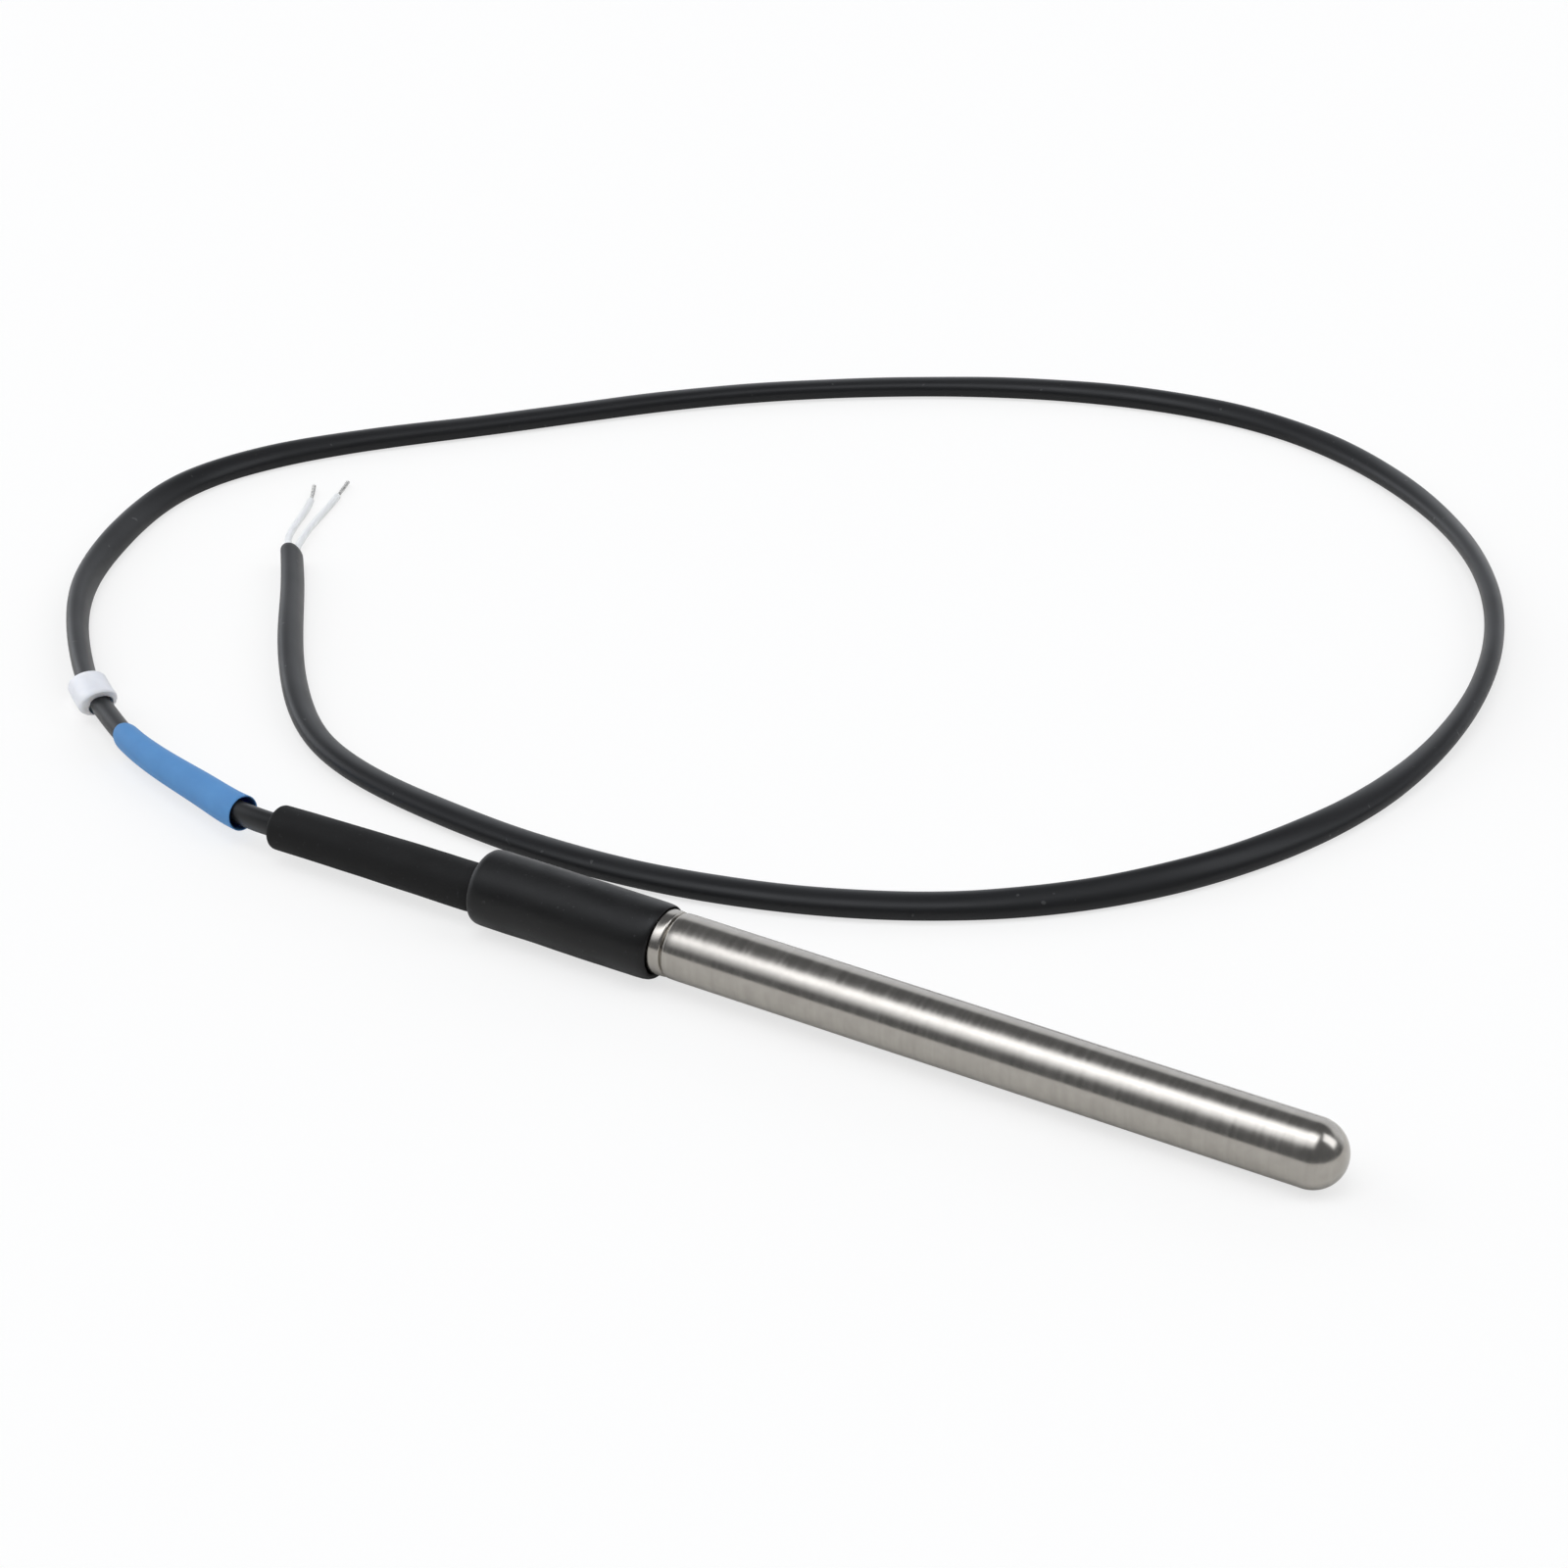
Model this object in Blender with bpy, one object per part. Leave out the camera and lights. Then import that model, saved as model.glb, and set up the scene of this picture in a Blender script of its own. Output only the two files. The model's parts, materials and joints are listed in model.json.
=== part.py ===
"""Temperature sensor: a closed steel sheath on a thin two-core lead.

The probe lies along X with its domed tip at +X. It rests on the dome and on the mouth of the large shrink
sleeve, so its axis leans back by under a degree. The lead leaves the sheath through a small shrink sleeve,
passes a blue marker sleeve and a white marker ring, runs once round on the surface and ends in two bare cores.
Stations on the probe are distances back from the very end of the dome.
"""

import math

import bmesh
import bpy
import numpy as np
from mathutils import Matrix, Vector

MM = 0.001

# Steel sheath
SHEATH_RADIUS = 3.0 * MM
SHEATH_WALL = 0.35 * MM
SHEATH_LENGTH = 82.1 * MM
GROOVE_FROM_REAR = 19.4 * MM
GROOVE_WIDTH = 1.0 * MM
GROOVE_DEPTH = 0.17 * MM
BEAD_HEIGHT = 0.12 * MM
SHEATH_RIM_CHAMFER = 0.12 * MM

# Large shrink sleeve over the rear of the sheath
SEAL_WALL = 0.45 * MM
SEAL_DROP = 0.2 * MM
SEAL_FRONT_FROM_REAR = 18.1 * MM
SEAL_FRONT_SLANT = 4.0
SEAL_OVERHANG = 0.7 * MM
SEAL_LIP = (0.5 * MM, 0.4 * MM)
SEAL_EDGE_ROUND = 0.6 * MM
SEAL_HOLE_EDGE = 0.25 * MM
SEAL_END_STRETCH = 3.0 * MM

# Small shrink sleeve over the lead
STRAIN_SQUEEZED_RADIUS = 1.95 * MM
STRAIN_RADIUS = 2.27 * MM
STRAIN_REAR_RADIUS = 2.135 * MM
STRAIN_START = 0.4 * MM
STRAIN_SWELL = (5.2 * MM, 6.8 * MM)
STRAIN_TAPER_START = 10.0 * MM
STRAIN_LENGTH = 28.85 * MM
STRAIN_END_ROUND = 0.45 * MM

# Lead
LEAD_RADIUS = 1.25 * MM
LEAD_START = 1.5 * MM
LEAD_ENTRY_FROM_REAR = 5.1 * MM
LEAD_ENTRY_X = -23.9 * MM
LEAD_POINT_SPACING = 7.0 * MM
LEAD_FINE_STRETCH = (8.0 * MM, 4)
LEAD_NEAR_PROBE = 20.0 * MM
CORE_RADIUS = 0.4 * MM
CORE_OFFSET = 0.65 * MM
STRAND_RADIUS = 0.22 * MM
STRAND_LENGTH = 4.0 * MM

# Markers on the lead, as distances along it from its entry
MARKER_SLEEVE_START = 33.9 * MM
MARKER_SLEEVE_LENGTH = 22.4 * MM
MARKER_SLEEVE_RADIUS = 1.69 * MM
MARKER_SLEEVE_FAR_RADIUS = 1.62 * MM
MARKER_SLEEVE_WALL = 0.2 * MM
MARKER_SLEEVE_HANG = 0.1 * MM
MARKER_RING_START = 64.4 * MM
MARKER_RING_LENGTH = 4.2 * MM
MARKER_RING_RADIUS = 1.87 * MM
MARKER_RING_ROUND = 0.45 * MM

# Inside the sheath
LINER_WALL = 0.25 * MM
LINER_FROM_PASTE = 0.8 * MM
LINER_FROM_PLUG = 6.3 * MM
PASTE_POCKET_RADIUS = 1.5 * MM
PASTE_POCKET_FLOOR = 1.35 * MM
PASTE_LENGTH = 8.6 * MM
PLUG_LENGTH = 11.0 * MM
CHIP_SIZE = (2.3 * MM, 2.0 * MM, 0.65 * MM)
CHIP_FROM_POCKET = 0.25 * MM
CHIP_EDGE = 0.06 * MM
BEAD_SIZE = (1.3 * MM, 1.7 * MM, 0.6 * MM)
BEAD_EDGE = 0.2 * MM
ELEMENT_LEAD_RADIUS = 0.13 * MM
ELEMENT_LEAD_OFFSET = 0.45 * MM
ELEMENT_LEAD_STRAIGHT = 3.0 * MM
JOINT_TUBE_INSIDE_LINER = 7.4 * MM
JOINT_TUBE_LENGTH = 14.0 * MM
JOINT_TUBE_WALL = 0.2 * MM
JOINT_OFFSET = 0.92 * MM
SOLDER_RADIUS = 0.35 * MM
SOLDER_LENGTH = 7.0 * MM
CORE_TAIL_IN_TUBE = 2.5 * MM
CORE_STRAIGHT_AT_JOINT = 3.0 * MM
CORE_STRAIGHT_IN_PLUG = 4.0 * MM

# Clearances between pieces that touch
SLEEVE_GAP = 0.1 * MM
FIT_GAP = 0.2 * MM
LEAD_GAP = 0.2 * MM
END_GAP = 0.3 * MM
CORE_HOLE_GAP = 0.12 * MM
CUT_PAST = 1.0 * MM

ROUND_SIDES = 40
SLEEVE_SIDES = 28
SMALL_SIDES = 12
WIRE_SIDES = 8

# The lead's sag inside the probe, in millimetres, chosen by hand: distance past its entry, drop below the axis
LEAD_SAG = [(0.0, 0.0), (2.0, 0.05), (3.7, 0.25), (5.3, 0.48), (6.6, 0.82), (8.0, 0.93)]

# The lead's route behind the probe, in millimetres, chosen by hand: x, y and the height of its middle
LEAD_ROUTE = [
    (-34.7, 0.0, 3.09),
    (-42.3, 0.0, 3.09),
    (-50.3, -0.05, 3.08),
    (-55.2, 0.0, 3.02),
    (-58.6, 0.6, 2.84),
    (-63.2, 2.1, 2.67),
    (-69.6, 4.2, 2.47),
    (-77.2, 7.35, 2.22),
    (-82.1, 10.3, 2.03),
    (-87.4, 13.9, 1.9),
    (-93.2, 19.1, 1.72),
    (-104.3, 32.6, 1.35),
    (-109.7, 45.3, 1.25),
    (-111.8, 60.0, 1.25),
    (-107.1, 72.7, 1.25),
    (-92.2, 91.0, 1.25),
    (-76.3, 109.2, 1.25),
    (-57.8, 124.3, 1.25),
    (-36.8, 134.8, 1.25),
    (-12.3, 137.3, 1.25),
    (9.0, 127.3, 1.25),
    (24.9, 108.2, 1.25),
    (32.6, 83.5, 1.25),
    (31.4, 59.6, 1.25),
    (21.5, 36.4, 1.25),
    (8.1, 23.2, 1.25),
    (-7.8, 15.4, 1.25),
    (-26.7, 11.8, 1.25),
    (-45.5, 12.9, 1.25),
    (-61.4, 17.6, 1.25),
    (-71.0, 25.7, 1.25),
    (-78.3, 34.5, 1.25),
    (-85.2, 43.9, 1.25),
    (-91.7, 52.2, 1.25),
]

# The two free cores past the lead's end, in millimetres, chosen by hand
FREE_CORES = [
    [(-92.4, 52.4, 1.2), (-94.2, 55.2, 0.9), (-96.2, 59.5, 0.5), (-97.9, 63.6, 0.45), (-100.3, 67.6, 0.45)],
    [(-91.4, 53.2, 1.2), (-92.8, 56.2, 0.9), (-94.5, 60.6, 0.5), (-95.9, 65.4, 0.45), (-97.6, 70.4, 0.45)],
]

SHEATH_BORE = SHEATH_RADIUS - SHEATH_WALL
SEAL_BORE = SHEATH_RADIUS + SLEEVE_GAP
SEAL_RADIUS = SEAL_BORE + SEAL_WALL
SEAL_FRONT = SHEATH_LENGTH - SEAL_FRONT_FROM_REAR
SEAL_REAR = SHEATH_LENGTH + SEAL_OVERHANG
LEAD_ENTRY = SHEATH_LENGTH - LEAD_ENTRY_FROM_REAR
GROOVE_PLACE = SHEATH_LENGTH - GROOVE_FROM_REAR
PLUG_REAR = LEAD_ENTRY - END_GAP
PLUG_FRONT = PLUG_REAR - PLUG_LENGTH
LINER_START = PASTE_LENGTH + LINER_FROM_PASTE
LINER_STOP = PLUG_FRONT - LINER_FROM_PLUG
JOINT_TUBE_STOP = LINER_STOP - JOINT_TUBE_INSIDE_LINER
JOINT_TUBE_START = JOINT_TUBE_STOP - JOINT_TUBE_LENGTH


def probe_lean():
    """The angle at which the dome and the large sleeve's mouth both touch the surface."""
    reach = SEAL_FRONT + SEAL_LIP[0] - SHEATH_RADIUS
    drop = SEAL_RADIUS + SEAL_DROP
    return math.atan2(drop, reach) - math.asin(SHEATH_RADIUS / math.hypot(reach, drop))


LEAN = probe_lean()


def on_probe(station, up=0.0):
    """World place of a point on the probe's axis, or above it by up."""
    back = station - LEAD_ENTRY
    height = SHEATH_RADIUS + (station - SHEATH_RADIUS) * math.sin(LEAN) + up * math.cos(LEAN)
    return Vector((LEAD_ENTRY_X - back * math.cos(LEAN) + up * math.sin(LEAN), 0, height))


class Route:
    """A smooth curve through its own points, measured along its length."""

    def __init__(self, points, samples=3000):
        points = np.array([tuple(p) for p in points], float)
        knots = np.concatenate([[0], np.cumsum(np.linalg.norm(np.diff(points, axis=0), axis=1))])
        bends = self.natural_bends(knots, points)
        place = np.linspace(0, knots[-1], samples)
        span = np.clip(np.searchsorted(knots, place, side="right") - 1, 0, len(knots) - 2)
        width = np.diff(knots)[span][:, None]
        late = (place - knots[span])[:, None]
        early = width - late
        self.points = (
            (points[span] * early + points[span + 1] * late) / width
            + bends[span] * (early**3 / width - width * early) / 6
            + bends[span + 1] * (late**3 / width - width * late) / 6
        )
        steps = np.linalg.norm(np.diff(self.points, axis=0), axis=1)
        self.distance = np.concatenate([[0], np.cumsum(steps)])
        self.length = float(self.distance[-1])

    @staticmethod
    def natural_bends(knots, points):
        """Second derivatives of the natural cubic spline at its knots."""
        count = len(knots)
        gaps = np.diff(knots)
        slopes = np.diff(points, axis=0) / gaps[:, None]
        matrix = np.eye(count)
        right = np.zeros_like(points)
        for i in range(1, count - 1):
            matrix[i, i - 1 : i + 2] = gaps[i - 1], 2 * (gaps[i - 1] + gaps[i]), gaps[i]
            right[i] = 6 * (slopes[i] - slopes[i - 1])
        return np.linalg.solve(matrix, right)

    def at(self, distance):
        return Vector([np.interp(distance, self.distance, self.points[:, k]) for k in range(3)])

    def towards(self, distance):
        step = 0.2 * MM
        low, high = max(0, distance - step), min(self.length, distance + step)
        return (self.at(high) - self.at(low)).normalized()


def lead_route():
    """From the probe's axis, inside the sheath, out and round on the surface."""
    inside = [on_probe(LEAD_ENTRY + step * MM, -drop * MM) for step, drop in LEAD_SAG]
    return Route(inside + [Vector(p) * MM for p in LEAD_ROUTE])


LEAD = lead_route()


def lead_drop_at(station):
    """How far the lead's middle lies above the probe's axis at a station, measured across the axis."""
    place = on_probe(station)
    along = Vector((-math.cos(LEAN), 0, math.sin(LEAN)))
    distances = np.linspace(0, LEAD_NEAR_PROBE, 400)
    nearest = min(distances, key=lambda d: abs((LEAD.at(d) - place).dot(along)))
    return (LEAD.at(nearest) - place).dot(Vector((math.sin(LEAN), 0, math.cos(LEAN))))


def material(name, colour, roughness, metallic=0.0, clear=0.0):
    made = bpy.data.materials.new(name)
    made.use_nodes = True
    shader = made.node_tree.nodes["Principled BSDF"]
    shader.inputs["Base Color"].default_value = (*colour, 1)
    shader.inputs["Roughness"].default_value = roughness
    shader.inputs["Metallic"].default_value = metallic
    shader.inputs["Transmission Weight"].default_value = clear
    made.diffuse_color = (*colour, 1)
    return made


def add_object(name, mesh, finish, parent=None):
    piece = bpy.data.objects.new(name, mesh)
    bpy.context.scene.collection.objects.link(piece)
    piece.data.materials.append(finish)
    piece.parent = parent
    mesh.shade_smooth()
    mesh.set_sharp_from_angle(angle=math.radians(35))
    return piece


def close_up(bm, name):
    """Merges doubled points, turns the faces outwards and returns the mesh."""
    bmesh.ops.remove_doubles(bm, verts=bm.verts, dist=0.001 * MM)
    bmesh.ops.recalc_face_normals(bm, faces=bm.faces)
    mesh = bpy.data.meshes.new(name)
    bm.to_mesh(mesh)
    bm.free()
    return mesh


def turned(name, outline, finish, parent, sides=ROUND_SIDES, offset=0.0):
    """A body turned about the probe's axis, or about a line beside it. Outline points are (station, radius)."""
    bm = bmesh.new()
    points = [bm.verts.new((-station, offset, -radius)) for station, radius in outline]
    closed = outline[0][1] > 0 or outline[-1][1] > 0
    pairs = zip(points, points[1:] + points[:1]) if closed else zip(points, points[1:])
    edges = [bm.edges.new(pair) for pair in pairs]
    bmesh.ops.spin(
        bm, geom=points + edges, cent=(0, offset, 0), axis=(1, 0, 0), angle=2 * math.pi, steps=sides,
        use_merge=True,
    )
    return add_object(name, close_up(bm, name), finish, parent)


def skinned(name, rings, finish, parent=None, hollow=True):
    """A loft over rings of points. A hollow loft runs out along the outside and back along the bore."""
    bm = bmesh.new()
    loops = [[bm.verts.new(p) for p in ring] for ring in rings]
    follow = loops[1:] + loops[:1] if hollow else loops[1:]
    for near, far in zip(loops, follow):
        for a, b, c, d in zip(near, near[1:] + near[:1], far[1:] + far[:1], far):
            bm.faces.new((a, b, c, d))
    if not hollow:
        bm.faces.new(loops[0])
        bm.faces.new(loops[-1])
    return add_object(name, close_up(bm, name), finish, parent)


def circle(centre, across, up, radius, sides):
    angles = (2 * math.pi * i / sides for i in range(sides))
    return [centre + radius * (math.sin(a) * across - math.cos(a) * up) for a in angles]


def swept(name, route, outline, finish, sides, hollow=True):
    """A body along a route. Outline points are (distance along it, radius)."""
    rings = []
    for distance, radius in outline:
        along = route.towards(distance)
        across = along.cross(Vector((0, 0, 1))).normalized()
        rings.append(circle(route.at(distance), across, across.cross(along), radius, sides))
    return skinned(name, rings, finish, hollow=hollow)


def arc(centre, radius, start, stop, steps):
    """Points of an arc, in degrees, as (station, radius) pairs."""
    turns = [math.radians(start + (stop - start) * i / steps) for i in range(steps + 1)]
    return [(centre[0] + radius * math.cos(t), centre[1] + radius * math.sin(t)) for t in turns]


def evenly(start, stop, count):
    return [start + (stop - start) * i / (count - 1) for i in range(count)]


def rolled_groove(radius, depth):
    """The rolled dip across the sheath, as a smooth wave from one shoulder to the other."""
    steps = evenly(-0.5, 0.5, 7)
    return [(GROOVE_PLACE + s * GROOVE_WIDTH, radius - depth * math.cos(math.pi * s) ** 2) for s in steps]


def make_sheath(probe, steel):
    """Drawn tube, closed by its dome and open at the rear, with one groove rolled through the wall."""
    outer_dome = arc((SHEATH_RADIUS, 0), SHEATH_RADIUS, 180, 90, 9)
    inner_dome = arc((SHEATH_RADIUS, 0), SHEATH_BORE, 90, 180, 7)
    outer_dome[0] = (0, 0)
    inner_dome[-1] = (SHEATH_WALL, 0)
    rear = [
        (SHEATH_LENGTH - SHEATH_RIM_CHAMFER, SHEATH_RADIUS),
        (SHEATH_LENGTH, SHEATH_RADIUS - SHEATH_RIM_CHAMFER),
        (SHEATH_LENGTH, SHEATH_BORE),
    ]
    inner_groove = rolled_groove(SHEATH_BORE, BEAD_HEIGHT)[::-1]
    outline = outer_dome + rolled_groove(SHEATH_RADIUS, GROOVE_DEPTH) + rear + inner_groove + inner_dome
    turned("sheath", outline, steel, probe)


def quarter(start, size, steps):
    """A quarter of an ellipse that eases from along the axis to across it, as (station, radius) steps."""
    return [(start[0] + size[0] * math.sin(a), start[1] - size[1] * (1 - math.cos(a)))
            for a in evenly(0, math.pi / 2, steps)]


def make_seal_sleeve(probe, black):
    """Large shrink sleeve: its bore fits the sheath, and its rear closes over the rim, round the small one."""
    end_drop = lead_drop_at(SEAL_REAR)
    hole = STRAIN_RADIUS + SLEEVE_GAP
    step = SHEATH_LENGTH + SLEEVE_GAP
    lip = quarter((0, SEAL_RADIUS), SEAL_LIP, 4)[::-1]
    outer = [(SEAL_FRONT + SEAL_LIP[0] - along, radius) for along, radius in lip]
    edge_start = SEAL_REAR - SEAL_EDGE_ROUND
    outer += [(x, SEAL_RADIUS) for x in evenly(SEAL_FRONT + SEAL_END_STRETCH, edge_start - SEAL_END_STRETCH, 3)]
    outer += quarter((edge_start, SEAL_RADIUS), (SEAL_EDGE_ROUND, SEAL_EDGE_ROUND), 5)
    bore = [
        (SEAL_REAR, hole), (step + SEAL_HOLE_EDGE, hole), (step, hole + SEAL_HOLE_EDGE),
        (step, SEAL_BORE), (SEAL_FRONT, SEAL_BORE),
    ]
    y, z = Vector((0, 1, 0)), Vector((0, 0, 1))
    slanted = Matrix.Rotation(-math.radians(SEAL_FRONT_SLANT), 3, "Y") @ z
    rings = []
    for s, r in outer:
        narrowed = (SEAL_RADIUS - r) / (SEAL_LIP[1] if s < edge_start else SEAL_EDGE_ROUND)
        last_drop = 0 if s < edge_start else 0.5 * (SEAL_DROP - end_drop)
        middle = Vector((-s, 0, -SEAL_DROP * (1 - narrowed) - last_drop * narrowed))
        rings.append(circle(middle, y, slanted if s <= SEAL_FRONT + SEAL_LIP[0] else z, r, ROUND_SIDES))
    for s, r in bore[:-1]:
        middle = Vector((-s, 0, end_drop if r < SEAL_BORE else 0))
        rings.append(circle(middle, y, z, r, ROUND_SIDES))
    rings.append(circle(Vector((-SEAL_FRONT, 0, 0)), y, slanted, SEAL_BORE, ROUND_SIDES))
    skinned("seal_sleeve", rings, black, probe)


def make_strain_sleeve(black):
    """Small shrink sleeve on the lead: squeezed where the sheath holds it, and cut square at its far end."""
    end = STRAIN_START + STRAIN_LENGTH
    full = end - STRAIN_END_ROUND
    squeezed, swollen = STRAIN_SWELL
    shape = [
        (STRAIN_START, STRAIN_SQUEEZED_RADIUS), (squeezed, STRAIN_SQUEEZED_RADIUS),
        (swollen, STRAIN_RADIUS), (STRAIN_TAPER_START, STRAIN_RADIUS), (end, STRAIN_REAR_RADIUS),
    ]
    places = evenly(STRAIN_START, STRAIN_TAPER_START, 9) + evenly(STRAIN_TAPER_START, full, 6)[1:]
    outer = [(d, float(np.interp(d, *zip(*shape)))) for d in places[:-1]]
    outer += quarter((full, STRAIN_REAR_RADIUS), (STRAIN_END_ROUND, STRAIN_END_ROUND), 5)
    bore = [(d, LEAD_RADIUS + LEAD_GAP) for d in places + [end]]
    swept("strain_sleeve", LEAD, outer + bore[::-1], black, SLEEVE_SIDES)


def make_markers(blue, milky):
    """The blue sleeve is a loose length of soft tube. The white ring is a moulded collar."""
    hang = Vector((0, 0, MARKER_SLEEVE_HANG))
    stop = MARKER_SLEEVE_START + MARKER_SLEEVE_LENGTH
    hung = Route([LEAD.at(d) - hang for d in evenly(MARKER_SLEEVE_START, stop, 12)], samples=800)
    taper = (MARKER_SLEEVE_FAR_RADIUS - MARKER_SLEEVE_RADIUS) / hung.length
    outline = [(d, MARKER_SLEEVE_RADIUS + taper * d) for d in evenly(0, hung.length, 8)]
    outline += [(d, radius - MARKER_SLEEVE_WALL) for d, radius in outline[::-1]]
    swept("marker_sleeve", hung, outline, blue, SLEEVE_SIDES)

    front, rear = MARKER_RING_START, MARKER_RING_START + MARKER_RING_LENGTH
    crown = MARKER_RING_RADIUS - MARKER_RING_ROUND
    ring_bore = LEAD_RADIUS + SLEEVE_GAP
    outline = arc((front + MARKER_RING_ROUND, crown), MARKER_RING_ROUND, 180, 90, 3)
    outline += arc((rear - MARKER_RING_ROUND, crown), MARKER_RING_ROUND, 90, 0, 3)
    outline += [(rear, ring_bore), (front, ring_bore)]
    swept("marker_ring", LEAD, outline, milky, SLEEVE_SIDES)


def make_lead_jacket(black):
    """The lead's outer jacket, from inside the small sleeve to its cut end."""
    fine_end, fine_steps = LEAD_FINE_STRETCH
    count = round((LEAD.length - fine_end) / LEAD_POINT_SPACING) + 1
    places = evenly(LEAD_START, fine_end, fine_steps)[:-1] + evenly(fine_end, LEAD.length, count)
    curve = bpy.data.curves.new("lead_jacket", "CURVE")
    curve.dimensions = "3D"
    curve.bevel_depth = LEAD_RADIUS
    curve.bevel_resolution = 2
    curve.use_fill_caps = True
    spline = curve.splines.new("POLY")
    spline.points.add(len(places) - 1)
    for point, distance in zip(spline.points, places):
        point.co = (*LEAD.at(distance), 1)
    curve.materials.append(black)
    bpy.context.scene.collection.objects.link(bpy.data.objects.new("lead_jacket", curve))


def make_free_cores(white, tin):
    """The two cores past the jacket's cut end, each with its tinned strands bared."""
    for number, points in enumerate(FREE_CORES, 1):
        route = Route([Vector(p) * MM for p in points], samples=400)
        bared = route.length - STRAND_LENGTH
        outline = [(d, CORE_RADIUS) for d in evenly(0, bared, 7)]
        swept(f"core_end_{number}", route, outline, white, SMALL_SIDES, hollow=False)
        outline = [(d, STRAND_RADIUS) for d in evenly(bared + FIT_GAP, route.length, 4)]
        swept(f"strand_end_{number}", route, outline, tin, WIRE_SIDES, hollow=False)


def probe_route(stations_and_sides):
    """A route beside the probe's axis, from (station, sideways offset) pairs."""
    points = [on_probe(station) + Vector((0, side, 0)) for station, side in stations_and_sides]
    return Route(points, samples=600)


def make_inner_wiring(white, clear, solder, nickel):
    """Each core runs to a soldered joint inside its own small tube, and a fine wire goes on to the chip."""
    core_front = JOINT_TUBE_STOP - CORE_TAIL_IN_TUBE
    core_rear = LEAD_ENTRY + LEAD_START - END_GAP
    joint_rear = core_front - END_GAP
    joint_front = joint_rear - SOLDER_LENGTH
    wire_rear = joint_front - FIT_GAP
    wire_front = bead_rear() + FIT_GAP
    tube_bore = CORE_RADIUS + FIT_GAP
    for number, side in ((1, -1), (2, 1)):
        near, far = side * CORE_OFFSET, side * JOINT_OFFSET
        route = probe_route([
            (core_rear, near), (PLUG_FRONT + CORE_STRAIGHT_IN_PLUG, near), (PLUG_FRONT, near),
            (JOINT_TUBE_STOP + CORE_STRAIGHT_AT_JOINT, far), (JOINT_TUBE_STOP, far), (core_front, far),
        ])
        outline = [(d, CORE_RADIUS) for d in evenly(0, route.length, 16)]
        swept(f"inner_core_{number}", route, outline, white, SMALL_SIDES, hollow=False)

        outline = [
            (JOINT_TUBE_START, tube_bore + JOINT_TUBE_WALL), (JOINT_TUBE_STOP, tube_bore + JOINT_TUBE_WALL),
            (JOINT_TUBE_STOP, tube_bore), (JOINT_TUBE_START, tube_bore),
        ]
        turned(f"joint_tube_{number}", outline, clear, PROBE, 16, far)

        thin = SOLDER_RADIUS * 0.55
        swell = [(joint_front + SOLDER_LENGTH * s, thin + (SOLDER_RADIUS - thin) * math.sin(math.pi * s))
                 for s in evenly(0, 1, 7)]
        outline = [(joint_front, 0)] + swell + [(joint_rear, 0)]
        turned(f"solder_joint_{number}", outline, solder, PROBE, SMALL_SIDES, far)

        pin = side * ELEMENT_LEAD_OFFSET
        middle = 0.5 * (wire_rear + wire_front)
        route = probe_route([
            (wire_rear, far), (wire_rear - ELEMENT_LEAD_STRAIGHT, far), (middle, 0.5 * (far + pin)),
            (wire_front + ELEMENT_LEAD_STRAIGHT, pin), (wire_front, pin),
        ])
        outline = [(d, ELEMENT_LEAD_RADIUS) for d in evenly(0, route.length, 10)]
        swept(f"element_lead_{number}", route, outline, nickel, WIRE_SIDES, hollow=False)


def chip_front():
    return SHEATH_RADIUS - (SHEATH_BORE - FIT_GAP) + PASTE_POCKET_FLOOR + CHIP_FROM_POCKET


def bead_rear():
    """The glass bead ends a little behind the chip, where the fine wires enter it."""
    return chip_front() + CHIP_SIZE[0] + 0.3 * BEAD_SIZE[0]


def rounded_block(name, size, centre_station, height, edge, finish, segments):
    bm = bmesh.new()
    bmesh.ops.create_cube(bm, size=1, matrix=Matrix.Diagonal((*size, 1)))
    bmesh.ops.bevel(bm, geom=bm.edges[:], offset=edge, segments=segments, affect="EDGES", profile=0.5)
    bmesh.ops.translate(bm, vec=(-centre_station, 0, height), verts=bm.verts)
    add_object(name, close_up(bm, name), finish, PROBE)


def make_element(ceramic, glass, paste):
    """The film resistor chip, the glass over its wire ends, and the heat paste that fills the dome."""
    chip_middle = chip_front() + 0.5 * CHIP_SIZE[0]
    rounded_block("sensing_chip", CHIP_SIZE, chip_middle, -0.5 * CHIP_SIZE[2], CHIP_EDGE, ceramic, 1)
    bead_height = 0.5 * BEAD_SIZE[2] + 0.5 * FIT_GAP
    rounded_block("glass_bead", BEAD_SIZE, bead_rear() - 0.5 * BEAD_SIZE[0], bead_height, BEAD_EDGE, glass, 2)

    outer = SHEATH_BORE - FIT_GAP
    front = SHEATH_RADIUS - outer
    dome = arc((SHEATH_RADIUS, 0), outer, 180, 90, 6)
    dome[0] = (front, 0)
    floor = front + PASTE_POCKET_FLOOR
    outline = dome + [
        (PASTE_LENGTH, outer), (PASTE_LENGTH, PASTE_POCKET_RADIUS), (floor, PASTE_POCKET_RADIUS), (floor, 0),
    ]
    turned("heat_paste", outline, paste, PROBE, SLEEVE_SIDES)


def make_liner(amber):
    outer = SHEATH_BORE - FIT_GAP
    bore = outer - LINER_WALL
    outline = [(LINER_START, outer), (LINER_STOP, outer), (LINER_STOP, bore), (LINER_START, bore)]
    turned("liner_tube", outline, amber, PROBE, SLEEVE_SIDES)


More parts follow.
